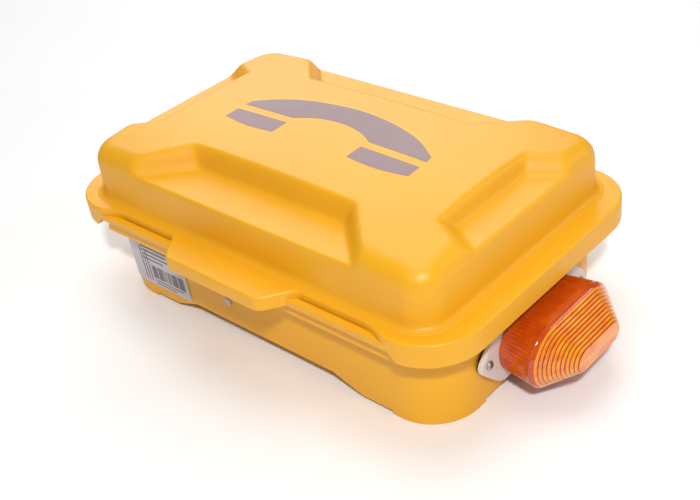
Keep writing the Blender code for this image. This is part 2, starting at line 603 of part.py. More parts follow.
def electrics():
    board = (BOARD_X - 72 * MM, BOARD_X + 72 * MM, BOARD_Y - 42 * MM, BOARD_Y + 42 * MM)
    top = BOARD_Z + 1.6 * MM
    boxes("main_board", "green_board", [(*board, BOARD_Z, top)])
    x, y = BOARD_X - 60 * MM, BOARD_Y
    block = (x, x + 12 * MM, y - 26 * MM, y + 26 * MM, top + GAP, top + 11 * MM)
    boxes("terminal_block", "call_red", [block])
    supply = (x + 30 * MM, x + 78 * MM, y - 30 * MM, y + 12 * MM, top + GAP, top + 17 * MM)
    boxes("power_module", "black_plastic", [supply])
    cone = [(FACE_Z - 24 * MM, 12 * MM), (FACE_Z - 14 * MM, 12 * MM), (FACE_Z - 5 * MM, 25 * MM)]
    cone += [(FACE_Z - GAP, 26 * MM)]
    turned("speaker", "grey_plastic", cone, "Z", (SPEAKER_X, SPEAKER_Y, 0), 24)
    for i, gy in enumerate(GLAND_Y):
        out = -BODY_HX - GAP
        body = [(-14, GLAND_R - 3 * MM), (-13, GLAND_R + 0.6 * MM), (-5, GLAND_R + 1.5 * MM)]
        body += [(-5, GLAND_R + 3 * MM), (0, GLAND_R + 3 * MM), (0, GLAND_R - 0.3 * MM)]
        body += [(17, GLAND_R - 0.3 * MM)]
        body = [(a * MM, r) for a, r in body]
        turned(f"cable_gland_{i + 1}", "black_plastic", body, "X", (out, gy, GLAND_Z), 16)
        inside = -BODY_HX + WALL + DRAFT + GAP
        wide, bore = GLAND_R + 4.5 * MM, GLAND_R * 1.16
        nut = [(0, wide), (5 * MM, wide), (5 * MM, bore), (0, bore)]
        turned(f"gland_nut_{i + 1}", "black_plastic", nut, "X", (inside, gy, GLAND_Z), 6, True)


# Outside fittings --------------------------------------------------------------------------

def base_outline(grow=0.0):
    """Beacon base plate: a stadium drawn out to a rounded ear at each end."""
    half = BEACON_LENGTH / 2
    tip = half + EAR + grow
    tall = BEACON_H + grow
    quarter = [(tip, 0.0), (tip - 1.2 * MM, 4.5 * MM), (tip - 5 * MM, 9 * MM)]
    quarter += [(half - 3 * MM, tall - 3.5 * MM), (half - 10 * MM, tall)]
    right = quarter + [(y, -z) for y, z in reversed(quarter[1:])]
    top = [p for p in right if p[1] >= 0]
    low = [p for p in right if p[1] < 0]
    return top + [(-y, z) for y, z in reversed(top)] + [(-y, z) for y, z in reversed(low)] + low


def beacon():
    at = (0, BEACON_Y, BEACON_Z)
    half = BEACON_LENGTH / 2
    sheet = BODY_HX + GAP
    for name, look, grow, x0, x1 in (
        ("beacon_gasket", "dark_rubber", -0.5 * MM, sheet, sheet + 1 * MM),
        ("beacon_base", "grey_plastic", 0.0, sheet + 1 * MM + GAP, sheet + 4.6 * MM),
    ):
        ends = [placed(base_outline(grow), "X", at, x) for x in (x0, x1)]
        loft(name, look, ends)
    root = sheet + 4.6 * MM + GAP
    rim = root + BEACON_REACH * 0.54
    front = root + BEACON_REACH
    high = BEACON_H
    t = 2 * MM
    foot = half - 4 * MM
    low = high - 2.5 * MM
    outside = [(foot, low, root), (half - 0.3 * MM, high - 0.3 * MM, rim - 2 * MM)]
    outside += [(half - 1.2 * MM, high - 1.2 * MM, rim), (half * 0.52, high * 0.33, front)]
    inside = [(half * 0.48, high * 0.2, front - 3 * MM), (half - 4.5 * MM, high - 4.5 * MM, rim - 1 * MM)]
    inside.append((foot - t, low - t, root))
    rings = [placed(oblong(a, b, b, 8), "X", at, x) for a, b, x in inside + outside]
    loft("beacon_lens", "amber_lens", rings)
    lamp = [(root, 13 * MM), (root + 4 * MM, 13 * MM), (root + 4 * MM, 6 * MM), (root + 22 * MM, 5 * MM)]
    turned("beacon_lamp", "grey_plastic", lamp, "X", at, 16)
    for i, s in enumerate((-1, 1)):
        spot = (0, BEACON_Y + s * (half + EAR * 0.38), BEACON_Z)
        head = [(root, 3.6 * MM), (root + 1.2 * MM, 3.4 * MM), (root + 2 * MM, 2 * MM)]
        turned(f"beacon_screw_{i + 1}", "key_metal", head, "X", spot, 12)


def label_and_vent():
    low_z, high_z = LABEL_Z
    rings = []
    for z, out in ((low_z, GAP), (low_z, GAP + 0.4 * MM), (high_z, GAP + 0.4 * MM), (high_z, GAP)):
        hx, hy = wall_at(z, out)
        r = BODY_R - BODY_HX + hx
        path = [(LABEL_X1, -hy), (-hx + r, -hy)]
        for degrees in (6, 12, 18, 24):
            a = math.radians(degrees)
            path.append((-hx + r - r * math.sin(a), -hy + r - r * math.cos(a)))
        rings.append([(x, y, z) for x, y in path])
    bm = bmesh.new()
    rows = [[bm.verts.new(p) for p in ring] for ring in rings]
    for a, b in zip(rows, rows[1:] + rows[:1]):
        for i in range(len(a) - 1):
            bm.faces.new((a[i], a[i + 1], b[i + 1], b[i]))
    bm.faces.new([row[0] for row in rows])
    bm.faces.new([row[-1] for row in rows])
    finish(bm, "rating_label", "label_film")
    y = -BODY_HY
    plug = [(-2 * MM, 3.6 * MM), (-1.6 * MM, 4.3 * MM), (-GAP, 4.3 * MM), (-GAP, 3 * MM), (7 * MM, 3 * MM)]
    turned("vent_plug", "label_film", plug, "Y", (VENT_X, y, VENT_Z), 16)


# Places worked out from the driving sizes
HINGE = (0.0, HINGE_Y, HINGE_Z)
ARM_CENTRES = [s * (HINGE_X + offset * MM) for s in (-1, 1) for offset in (-20, 20)]
SEAL_HX = HALF_W - 11 * MM
SEAL_HY = HALF_D - 11.7 * MM
SEAL_R = FLANGE_R - 11 * MM
SEAL_W = 4 * MM
CATCH_Y = -BODY_HY + WALL + 1 * MM
SPEAKER_X = PAD_X
SPEAKER_Y = PAD_Y + 2 * KEY_PITCH + 33 * MM
LAMP_Y = CALL_Y + 34 * MM
CORD_X = HANDSET_X + 48 * MM
CORD_Y = -DEPTH * 0.3
BOARD_X = WIDTH * 0.125
BOARD_Y = -DEPTH * 0.06
BOARD_Z = FLOOR_Z + 16 * MM
WALL_SCREWS = [(sx * WIDTH * 0.36, sy * DEPTH * 0.17) for sx in (-1, 1) for sy in (-1, 1)]
GLAND_Y = (-DEPTH * 0.06, DEPTH * 0.14)
GLAND_Z = 44 * MM
GLAND_R = 8 * MM
LABEL_X1 = -WIDTH * 0.205
LABEL_Z = (ARCH_Z, 58 * MM)
VENT_X = -WIDTH * 0.08
VENT_Z = 36 * MM


fresh_scene()
housing()
lid()
lid_fittings()
hinge_hardware()
fascia()
cradle()
handset()
keypad()
call_button()
electrics()
beacon()
label_and_vent()
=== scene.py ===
"""The look of the weatherproof call station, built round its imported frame."""

import math

import bmesh
import bpy
from mathutils import Matrix, Vector


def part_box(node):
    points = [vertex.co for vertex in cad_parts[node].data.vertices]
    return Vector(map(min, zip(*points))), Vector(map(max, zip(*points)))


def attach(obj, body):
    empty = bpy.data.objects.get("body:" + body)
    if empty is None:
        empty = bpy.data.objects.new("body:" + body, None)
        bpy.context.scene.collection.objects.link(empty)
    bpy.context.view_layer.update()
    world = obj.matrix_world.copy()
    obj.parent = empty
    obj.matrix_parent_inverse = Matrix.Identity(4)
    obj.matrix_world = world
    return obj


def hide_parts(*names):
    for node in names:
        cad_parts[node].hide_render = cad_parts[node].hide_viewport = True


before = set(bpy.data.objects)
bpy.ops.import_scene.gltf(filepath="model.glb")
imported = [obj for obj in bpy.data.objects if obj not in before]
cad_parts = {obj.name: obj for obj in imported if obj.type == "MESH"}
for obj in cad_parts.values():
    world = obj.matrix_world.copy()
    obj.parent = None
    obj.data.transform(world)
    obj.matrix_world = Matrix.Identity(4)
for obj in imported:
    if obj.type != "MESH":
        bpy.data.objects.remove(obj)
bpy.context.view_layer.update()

MM = 0.001

# Half length, half depth and corner radius of the two main outlines, in metres.
FLANGE = (0.2, 0.125, 0.044)
HOUSING = (0.182, 0.107, 0.042)

# Heights over the table, and how the housing's walls lean.
HOUSING_FOOT = 0.003
HOUSING_RISE = 0.072
WALL_LEAN = 0.002
FACE = 77.3 * MM
RIM_TOP = 82.4 * MM
SEAM = 82.7 * MM
FLANGE_TOP = 94 * MM
CROWN = 146.75 * MM

# The lid's raised centre: half sizes, corner radius, rolled edge and wall.
DOME_HX = 177.2 * MM
DOME_HY = 108.6 * MM
DOME_R = 22 * MM
DOME_ROLL = 13.5 * MM
DOME_WALL = 3.6 * MM

# Hinge line, the two hinges along it, and the bore's radius in millimetres.
HINGE = Vector((0, 132.5 * MM, 76 * MM))
HINGE_XS = (-0.11, 0.11)
PIN_BORE = 3.2

BEACON_Y = -0.002
BEACON_Z = 0.0405
LABEL_LIFT = 0.66 * MM
INK = 0.05 * MM
KEY_CELL = 7.55 * MM
DISH_R = 0.04
ARC_STEP = 2.2
WORLD_LIGHT = 0.24


# Finishes --------------------------------------------------------------------------------

def linear(rgb):
    """Screen colour, 0 to 255, as the shader wants it."""
    return tuple(c / 255 / 12.92 if c < 11 else ((c / 255 + 0.055) / 1.055) ** 2.4 for c in rgb) + (1.0,)


class Finish:
    """A material under construction, with short calls for the nodes it is made of."""

    def __init__(self, name, **values):
        self.material = bpy.data.materials.new(name)
        self.material.use_nodes = True
        self.tree = self.material.node_tree
        self.shader = self.tree.nodes["Principled BSDF"]
        for key, value in values.items():
            self.shader.inputs[key.replace("_", " ")].default_value = value
        self.coords = self.node("ShaderNodeTexCoord").outputs["Object"]

    def node(self, kind, **inputs):
        made = self.tree.nodes.new(kind)
        for key, value in inputs.items():
            socket = made.inputs[key.replace("_", " ")]
            if isinstance(value, bpy.types.NodeSocket):
                self.tree.links.new(value, socket)
            else:
                socket.default_value = value
        return made

    def stretched(self, x, y, z):
        mapping = self.node("ShaderNodeMapping", Vector=self.coords)
        mapping.inputs["Scale"].default_value = (x, y, z)
        return mapping.outputs[0]

    def noise(self, scale, detail=3.0, where=None, rough=0.5):
        made = self.node("ShaderNodeTexNoise", Vector=where or self.coords, Scale=scale, Detail=detail)
        made.inputs["Roughness"].default_value = rough
        return made.outputs["Fac"]

    def ramp(self, value, stops):
        made = self.node("ShaderNodeValToRGB", Fac=value)
        ramp = made.color_ramp
        while len(ramp.elements) < len(stops):
            ramp.elements.new(0.5)
        for element, (place, colour) in zip(ramp.elements, stops):
            element.position = place
            element.color = colour
        return made.outputs[0]

    def levels(self, value, low, high):
        made = self.node("ShaderNodeMapRange", Value=value)
        made.inputs["To Min"].default_value = low
        made.inputs["To Max"].default_value = high
        return made.outputs[0]

    def worked(self, how, value, other=0.5):
        made = self.node("ShaderNodeMath", Value=value)
        made.operation = how
        made.inputs[1].default_value = other
        return made.outputs[0]

    def colour(self, socket):
        self.tree.links.new(socket, self.shader.inputs["Base Color"])

    def roughness(self, socket):
        self.tree.links.new(socket, self.shader.inputs["Roughness"])

    def bump(self, *layers):
        """Each layer is (height, strength, depth in metres), laid one on another."""
        normal = None
        for height, strength, depth in layers:
            made = self.node("ShaderNodeBump", Height=height, Strength=strength, Distance=depth)
            if normal:
                self.tree.links.new(normal, made.inputs["Normal"])
            normal = made.outputs[0]
        self.tree.links.new(normal, self.shader.inputs["Normal"])


def moulded(name, rgb, spread, rough=(0.36, 0.46), grain=900, depth=0.05, **values):
    """Moulded plastic: slow drift of colour, fine orange peel, uneven gloss."""
    made = Finish(name, **values)
    dark = linear([c * (1 - spread) for c in rgb])
    light = linear([min(255, c * (1 + spread * 0.6)) for c in rgb])
    drift = made.noise(9, 4)
    made.colour(made.ramp(drift, [(0.32, dark), (0.68, light)]))
    made.roughness(made.levels(made.noise(60, 5), *rough))
    made.bump((made.noise(grain, 2), 0.35, depth * MM), (made.noise(14, 2), 0.15, 0.3 * MM))
    return made.material


def brushed(name, rgb, along, rough=(0.24, 0.42), **values):
    """Brushed metal, its lines running along one axis."""
    made = Finish(name, Metallic=1.0, **values)
    scale = [1400, 1400, 1400]
    scale["XYZ".index(along)] = 12
    lines = made.noise(1.0, 4, made.stretched(*scale), 0.7)
    cloud = made.noise(22, 3)
    made.colour(made.ramp(lines, [(0.25, linear([c * 0.82 for c in rgb])), (0.75, linear(rgb))]))
    made.roughness(made.levels(cloud, *rough))
    made.bump((lines, 0.22, 0.03 * MM))
    return made.material


yellow = moulded("yellow_moulding", (237, 170, 16), 0.02, (0.37, 0.47), 700, 0.05)
black = moulded("black_moulding", (24, 24, 26), 0.12, (0.36, 0.52), 1300, 0.12)
soft_black = moulded("black_rubber", (20, 20, 21), 0.15, (0.66, 0.8), 800, 0.1)
grey = moulded("grey_moulding", (216, 204, 196), 0.04, (0.35, 0.45), 900, 0.06)
pale_grey = moulded("pale_moulding", (196, 198, 200), 0.05, (0.4, 0.5), 900, 0.06)
red = moulded("red_moulding", (196, 22, 18), 0.06, (0.2, 0.3), 600, 0.03)
film = moulded("label_film", (196, 190, 196), 0.03, (0.3, 0.4), 1200, 0.02)
film_ink = moulded("label_ink", (92, 86, 96), 0.08, (0.4, 0.5), 1200, 0.02)
symbol_film = moulded("symbol_film", (146, 120, 122), 0.04, (0.42, 0.52), 900, 0.03)
plate_ink = moulded("plate_ink", (34, 44, 64), 0.08, (0.4, 0.5), 1200, 0.02)
steel_x = brushed("steel_brushed_across", (205, 206, 204), "X")
steel_z = brushed("steel_turned", (196, 196, 194), "Z", (0.3, 0.45))
steel_fine = moulded("key_casting", (190, 191, 190), 0.05, (0.3, 0.42), 1500, 0.04, Metallic=1.0)
spring_steel = moulded("spring_wire", (150, 150, 152), 0.08, (0.22, 0.34), 500, 0.03, Metallic=1.0)


def amber_finish(name, dark, bright, pale, clear, grain):
    """Clear amber plastic, with painted light and painted shade in streaks for the light and dark lines its inner
    prisms throw about.
    """
    made = Finish(name, Transmission_Weight=clear, IOR=1.49, Coat_Weight=0.6, Coat_Roughness=0.04)
    prism_light_streaks = made.noise(1.0, 3, made.stretched(*grain), 0.5)
    # Painted light and shade: dark, bright and pale streaks across the colour stand for light the prisms throw.
    colours = made.ramp(prism_light_streaks, [(0.3, linear(dark)), (0.5, linear(bright)), (0.72, linear(pale))])
    made.roughness(made.levels(made.noise(160, 2), 0.07, 0.16))
    made.bump((prism_light_streaks, 0.2, 0.1 * MM), (made.noise(500, 2), 0.2, 0.03 * MM))
    return made, colours


def amber(*recipe):
    made, colours = amber_finish(*recipe)
    made.colour(colours)
    return made.material


def board_green():
    """Lacquered board with copper runs showing through."""
    made = Finish("board_lacquer", Coat_Weight=0.5)
    cells = made.node("ShaderNodeTexBrick", Vector=made.stretched(260, 260, 260), Scale=1.0)
    cells.inputs["Color1"].default_value = linear((22, 84, 44))
    cells.inputs["Color2"].default_value = linear((18, 74, 38))
    cells.inputs["Mortar"].default_value = linear((58, 132, 74))
    cells.inputs["Mortar Size"].default_value = 0.06
    made.colour(cells.outputs["Color"])
    made.roughness(made.levels(made.noise(80), 0.25, 0.4))
    made.bump((cells.outputs["Fac"], 0.3, 0.05 * MM))
    return made.material


def ribbed_amber(start, pitch):
    """The same plastic, brighter with painted light from its prisms, with painted shade in a dark line at the root
    of every rib across the axis.
    """
    # Brighter colours than the plain skirt: painted light thrown by the prisms of the ribbed nose.
    made, colours = amber_finish("amber_ribbed", (240, 112, 8), (255, 144, 14), (255, 168, 34), 0.1,
                                 (160, 60, 160))
    along = made.node("ShaderNodeSeparateXYZ", Vector=made.coords).outputs[0]
    ribs = made.worked("DIVIDE", made.worked("SUBTRACT", along, start), pitch)
    clear = (1, 1, 1, 1)
    # Painted shade: a dark line at the root of each rib, white between so the colour stays as it is.
    lines = made.ramp(made.worked("FRACT", ribs), [(0.0, (0.42, 0.3, 0.25, 1)), (0.12, clear), (0.66, clear),
                                                   (0.86, (0.3, 0.2, 0.15, 1))])
    mix = made.node("ShaderNodeMix")
    mix.data_type = "RGBA"
    mix.blend_type = "MULTIPLY"
    mix.inputs[0].default_value = 1.0
    made.tree.links.new(colours, mix.inputs[6])
    made.tree.links.new(lines, mix.inputs[7])
    made.colour(mix.outputs[2])
    return made.material


amber_clear = amber("amber_clear", (196, 56, 6), (250, 122, 12), (255, 160, 40), 0.25, (120, 120, 120))
amber_skirt = amber("amber_skirt", (206, 66, 8), (222, 84, 12), (232, 98, 16), 0.3, (60, 60, 60))
board_lacquer = board_green()


# Making and joining shapes ---------------------------------------------------------------

def centre(node):
    """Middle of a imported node's box."""
    low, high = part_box(node)
    return tuple((a + b) / 2 for a, b in zip(low, high))


def thing(bm, name):
    """A mesh put into the scene as it stands."""
    mesh = bpy.data.meshes.new(name)
    bm.to_mesh(mesh)
    bm.free()
    obj = bpy.data.objects.new(name, mesh)
    bpy.context.scene.collection.objects.link(obj)
    return obj


def combined(bm, *steps):
    """The mesh after each (operation, other mesh) has been worked on it."""
    body = thing(bm, "working")
    tools = []
    for how, other in steps:
        tool = thing(other, "tool")
        tools.append(tool)
        work = body.modifiers.new("work", "BOOLEAN")
        work.operation = how
        work.solver = "EXACT"
        work.object = tool
    graph = bpy.context.evaluated_depsgraph_get()
    made = bmesh.new()
    made.from_mesh(bpy.data.meshes.new_from_object(body.evaluated_get(graph)))
    for obj in (body, *tools):
        bpy.data.objects.remove(obj)
    bmesh.ops.remove_doubles(made, verts=made.verts, dist=1e-6)
    bmesh.ops.dissolve_degenerate(made, edges=made.edges, dist=1e-6)
    return made


def together(*meshes):
    """Several meshes as one, without joining their surfaces."""
    made = bmesh.new()
    for bm in meshes:
        mesh = bpy.data.meshes.new("part")
        bm.to_mesh(mesh)
        bm.free()
        made.from_mesh(mesh)
        bpy.data.meshes.remove(mesh)
    return made


def show(bm, name, look, body, stands_for=(), angle=32, weighted=True):
    """A finished piece: its look, the body it rides on and the nodes it stands for."""
    obj = thing(bm, name)
    obj.data.materials.append(look)
    obj.data.shade_smooth()
    obj.data.set_sharp_from_angle(angle=math.radians(angle))
    if weighted:
        even = obj.modifiers.new("even_normals", "WEIGHTED_NORMAL")
        even.keep_sharp = True
    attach(obj, body)
    if stands_for:
        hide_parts(*stands_for)
    return obj


def eased(bm, geom, size, segments, affect="EDGES", **more):
    """Rounds edges, or the corners of a flat face, over to a size."""
    bmesh.ops.bevel(bm, geom=geom, offset=size, offset_type="OFFSET", affect=affect, segments=segments,
                    profile=0.5, material=-1, **more)


def new_verts(out):
    return [g for g in out["geom"] if isinstance(g, bmesh.types.BMVert)]


def slab(corners, z0, z1, top=0.0, foot=0.0, segments=3, lean=0.0):
    """Flat plate from (x, y, radius) corners, its rims rounded; lean shrinks the foot."""
    bm = bmesh.new()
    verts = [bm.verts.new((x, y, z1)) for x, y, _ in corners]
    bm.faces.new(verts)
    for vert, (_, _, radius) in zip(verts, corners):
        if radius:
            a, b = [(e.other_vert(vert).co - vert.co).normalized() for e in vert.link_edges]
            reach = radius / math.tan(a.angle(b) / 2)
            steps = max(3, int(radius / MM / ARC_STEP))
            eased(bm, [vert], reach, steps, "VERTICES", clamp_overlap=False)
    bm.faces.ensure_lookup_table()
    low = new_verts(bmesh.ops.extrude_face_region(bm, geom=[bm.faces[0]], use_keep_orig=True))
    bmesh.ops.translate(bm, verts=low, vec=(0, 0, z0 - z1))
    if lean:
        for vert in low:
            vert.co.x -= math.copysign(lean, vert.co.x)
            vert.co.y -= math.copysign(lean, vert.co.y)
    bmesh.ops.recalc_face_normals(bm, faces=bm.faces)
    for z, size in ((z1, top), (z0, foot)):
        if size:
            rim = [e for e in bm.edges if all(abs(v.co.z - z) < 1e-7 for v in e.verts)]
            eased(bm, rim, size, segments)
    return bm


def oblong(hx, hy, r, cx=0.0, cy=0.0):
    """Corners of a rounded oblong, for a slab."""
    return [(cx + hx, cy + hy, r), (cx - hx, cy + hy, r), (cx - hx, cy - hy, r), (cx + hx, cy - hy, r)]


def brick(x0, x1, y0, y1, z0, z1, edge=0.0, segments=2):
    bm = bmesh.new()
    bmesh.ops.create_cube(bm, size=1)
    bmesh.ops.scale(bm, verts=bm.verts, vec=(x1 - x0, y1 - y0, z1 - z0))
    bmesh.ops.translate(bm, verts=bm.verts, vec=((x0 + x1) / 2, (y0 + y1) / 2, (z0 + z1) / 2))
    if edge:
        eased(bm, bm.edges, edge, segments)
    return bm


TURN = {"Z": Matrix.Identity(4), "X": Matrix.Rotation(math.pi / 2, 4, "Y"),
        "Y": Matrix.Rotation(-math.pi / 2, 4, "X")}


def turned(profile, at, axis="Z", count=48):
    """Round piece spun from (radius, along) points in millimetres; along runs up the axis."""
    bm = bmesh.new()
    verts = [bm.verts.new((r * MM, 0, z * MM)) for r, z in profile]
    edges = [bm.edges.new(pair) for pair in zip(verts, verts[1:])]
    if profile[0][0] > 0 and profile[-1][0] > 0:
        edges.append(bm.edges.new((verts[-1], verts[0])))
    bmesh.ops.spin(bm, geom=verts + edges, cent=(0, 0, 0), axis=(0, 0, 1), angle=2 * math.pi,
                   steps=count, use_merge=True)
    bmesh.ops.remove_doubles(bm, verts=bm.verts, dist=1e-7)
    bmesh.ops.recalc_face_normals(bm, faces=bm.faces)
    bmesh.ops.transform(bm, matrix=Matrix.Translation(Vector(at)) @ TURN[axis], verts=bm.verts)
    return bm


def drawn_on(bm, row, edges, places):
    """Draws a row of verts out one step and sets the new row on its places."""
    fresh = set(new_verts(bmesh.ops.extrude_edge_only(bm, edges=edges)))
    heirs = [next(e.other_vert(v) for e in v.link_edges if e.other_vert(v) in fresh) for v in row]
    for vert, place in zip(heirs, places):
        vert.co = place
    return heirs


def follow(bm, ring, stations):
    """Pulls a closed ring of verts through stations, each a list of the ring's new places."""
    edges = [bm.edges.get((a, b)) or bm.edges.new((a, b)) for a, b in zip(ring, ring[1:] + ring[:1])]
    for places in stations:
        ring = drawn_on(bm, ring, edges, places)
        edges = [bm.edges.get(pair) for pair in zip(ring, ring[1:] + ring[:1])]
    return ring


def skinned(rings, capped=(True, True)):
    """Skin drawn through rings of points, with its ends closed where asked."""
    bm = bmesh.new()
    first = [bm.verts.new(p) for p in rings[0]]
    last = follow(bm, first, rings[1:])
    for ring, wanted in ((first, capped[0]), (last, capped[1])):
        if wanted:
            bm.faces.new(ring)
    bmesh.ops.recalc_face_normals(bm, faces=bm.faces)
    return bm


# Lid -------------------------------------------------------------------------------------

def crown(x, y):
    """Height of the lid's shallow crown, before its edges roll over."""
    return CROWN - 5 * MM * (x / 0.165) ** 2 - 5 * MM * (y / 0.098) ** 2


def soft_min(a, b, k):
    """The lower of two heights, blended over a width k where they meet."""
    h = min(1.0, max(0.0, 0.5 + 0.5 * (b - a) / k))
    return b + (a - b) * h - k * h * (1 - h)


def soft_max(a, b, k):
    return -soft_min(-a, -b, k)


def recess(x, y):
    """Height that the four edge recesses allow the lid at a point."""
    x, y = abs(x) / MM, abs(y) / MM
    ends = ((x - 76.5) * 33 - (y - 71.5) * 36) / 48.8 * 2.0
    back = (71.5 - y) * 3.4
    lip = 127.4 + soft_max(0, soft_max(ends, back, 5), 5) - 1.25
    ends = ((y - 40) * 25.5 - (x - 150.5) * 16) / 30.1 * 1.1
    back = (150.5 - x) * 2.4
    side = 130.2 + soft_max(0, soft_max(ends, back, 5), 5) - 1.25
    return min(lip, side) * MM


def edge_distance(x, y):
    """How far a point lies inside the dome's rounded outline."""
    qx, qy = abs(x) - (DOME_HX - DOME_R), abs(y) - (DOME_HY - DOME_R)
    outside = math.hypot(max(qx, 0), max(qy, 0))
    return DOME_R - outside - min(max(qx, qy), 0)


def dome_height(x, y, inwards):
    left = max(0.0, 1 - max(0.0, inwards) / DOME_ROLL)
    drop = DOME_ROLL * (1 - math.sqrt(max(0.0, 1 - left * left)))
    return soft_min(crown(x, y) - drop, recess(x, y), 6 * MM)


def dome():
    """Raised centre of the lid: a grid fitted to the rounded outline, then its walls drawn down."""
    bm = bmesh.new()
    bmesh.ops.create_grid(bm, x_segments=170, y_segments=108, size=1)
    for vert in bm.verts:
        u, v = [0.55 * c + 0.45 * math.sin(c * math.pi / 2) for c in vert.co.xy]
        x, y = u * DOME_HX, v * DOME_HY
        a = (abs(x) - (DOME_HX - DOME_R)) / DOME_R
        b = (abs(y) - (DOME_HY - DOME_R)) / DOME_R
        if a > 0 and b > 0:
            a, b = a * math.sqrt(1 - b * b / 2), b * math.sqrt(1 - a * a / 2)
            x = math.copysign(DOME_HX - DOME_R + a * DOME_R, x)
            y = math.copysign(DOME_HY - DOME_R + b * DOME_R, y)
        vert.co = (x, y, dome_height(x, y, edge_distance(x, y)))
    rim = [e for e in bm.edges if e.is_boundary]
    ring = [rim[0].verts[0], rim[0].verts[1]]
    while True:
        steps = [e.other_vert(ring[-1]) for e in ring[-1].link_edges if e.is_boundary]
        ahead = next(v for v in steps if v is not ring[-2])
        if ahead is ring[0]:
            break
        ring.append(ahead)
    outward = []
    for vert in ring:
        x, y = vert.co.xy
        normal = Vector((max(0, abs(x) - (DOME_HX - DOME_R)), max(0, abs(y) - (DOME_HY - DOME_R))))
        normal.normalize()
        outward.append(Vector((math.copysign(normal.x, x), math.copysign(normal.y, y), 0)))
    tops = [v.co.copy() for v in ring]
    stations = []
    for share, out in ((0.12, 0.05), (0.3, 0.15), (0.55, 0.3), (0.8, 0.5), (1.0, 0.7)):
        places = [t + n * out * MM for t, n in zip(tops, outward)]
        stations.append([Vector((p.x, p.y, t.z + (99.5 * MM - t.z) * share)) for p, t in zip(places, tops)])
    for z, out in ((97.6, 1.0), (96.2, 1.6), (95.2, 2.5), (94.5, 3.7), (94.12, 5.2), (94.0, 7.0), (93.2, 8.0)):
        stations.append([Vector((t.x + n.x * out * MM, t.y + n.y * out * MM, z * MM))
                         for t, n in zip(tops, outward)])
    follow(bm, ring, stations)
    bmesh.ops.recalc_face_normals(bm, faces=bm.faces)
    if sum(f.normal.z for f in bm.faces) < 0:
        bmesh.ops.reverse_faces(bm, faces=bm.faces)
    return bm


def lid_edge():
    """Flange with its tab, deep skirt, seal groove lip and hinge lugs, open in the middle."""
    corners = [(200, 125, 44), (-200, 125, 44), (-200, -125, 44), (-150, -125, 24), (-134, -118.3, 40),
               (-66.5, -118.3, 9), (-49.5, -142, 10), (49.5, -142, 10), (66.5, -118.3, 9),
               (134, -118.3, 40), (150, -125, 24), (200, -125, 44)]
    corners = [(x * MM, y * MM, r * MM) for x, y, r in corners]
    plate = slab(corners, SEAM, FLANGE_TOP, 1.7 * MM, 0.35 * MM, 4)
    skirt = slab(oblong(*FLANGE), 75 * MM, 88 * MM, 0, 1.1 * MM)
    room = slab(oblong(0.1943, 0.1193, 0.0383), 60 * MM, 96 * MM)
    skirt = combined(skirt, ("DIFFERENCE", room))
    mouth = bmesh.new()
    bmesh.ops.create_cube(mouth, size=1)
    bmesh.ops.scale(mouth, verts=mouth.verts, vec=(0.309, 0.02, 0.009))
    bmesh.ops.translate(mouth, verts=mouth.verts, vec=(0, -0.128, 0.0782))
    for vert in mouth.verts:
        if vert.co.z < 0.078:
            vert.co.x *= 1.05
    lugs = []
    for x in HINGE_XS:
        web = brick(x - 0.012, x + 0.012, 0.121, HINGE.y, 75.2 * MM, 81.4 * MM, 0.8 * MM)
        barrel = [(0, -12), (5.6, -12), (6, -11.6), (6, 11.6), (5.6, 12), (0, 12)]
        lugs += [("UNION", web), ("UNION", turned(barrel, (x, HINGE.y, HINGE.z), "X"))]
    cavity = slab(oblong(172.4 * MM, 104.6 * MM, 17.5 * MM), 60 * MM, 110 * MM)
    groove = combined(slab(oblong(0.1893, 0.1136, 0.0333), 80 * MM, 85.9 * MM),
                      ("DIFFERENCE", slab(oblong(0.1847, 0.1090, 0.0287), 70 * MM, 95 * MM)))
    boss = brick(-0.013, 0.013, -0.1075, -0.093, 89 * MM, 98 * MM, 0.8 * MM)
    plate = combined(plate, ("DIFFERENCE", cavity), ("UNION", boss), ("DIFFERENCE", groove))
    edge = combined(plate, ("UNION", combined(skirt, ("DIFFERENCE", mouth))), *lugs)
    return combined(edge, *pin_bores(20))


def pin_bores(reach):
    """Cuts for the two hinge pins, each going a reach in millimetres to both sides."""
    round_cut = [(0, -reach), (PIN_BORE, -reach), (PIN_BORE, reach), (0, reach)]
    return [("DIFFERENCE", turned(round_cut, (x, HINGE.y, HINGE.z), "X")) for x in HINGE_XS]


def lid():
    skin = thing(dome(), "lid_dome_skin")
    wall = skin.modifiers.new("wall", "SOLIDIFY")
    wall.thickness = DOME_WALL
    wall.offset = -1
    graph = bpy.context.evaluated_depsgraph_get()
    shell = bmesh.new()
    shell.from_mesh(bpy.data.meshes.new_from_object(skin.evaluated_get(graph)))
    bpy.data.objects.remove(skin)
    show(shell, "lid_dome", yellow, "lid", ["lid"], 60, False)
    show(lid_edge(), "lid_edge", yellow, "lid", ["lid"])
    bead = combined(slab(oblong(0.189, 0.1133, 0.033), 82.45 * MM, 85.6 * MM, 0, 1.4 * MM, 4),
                    ("DIFFERENCE", slab(oblong(0.185, 0.1093, 0.029), 70 * MM, 95 * MM)))
    show(bead, "seal_bead", soft_black, "lid", ["lid_seal"])


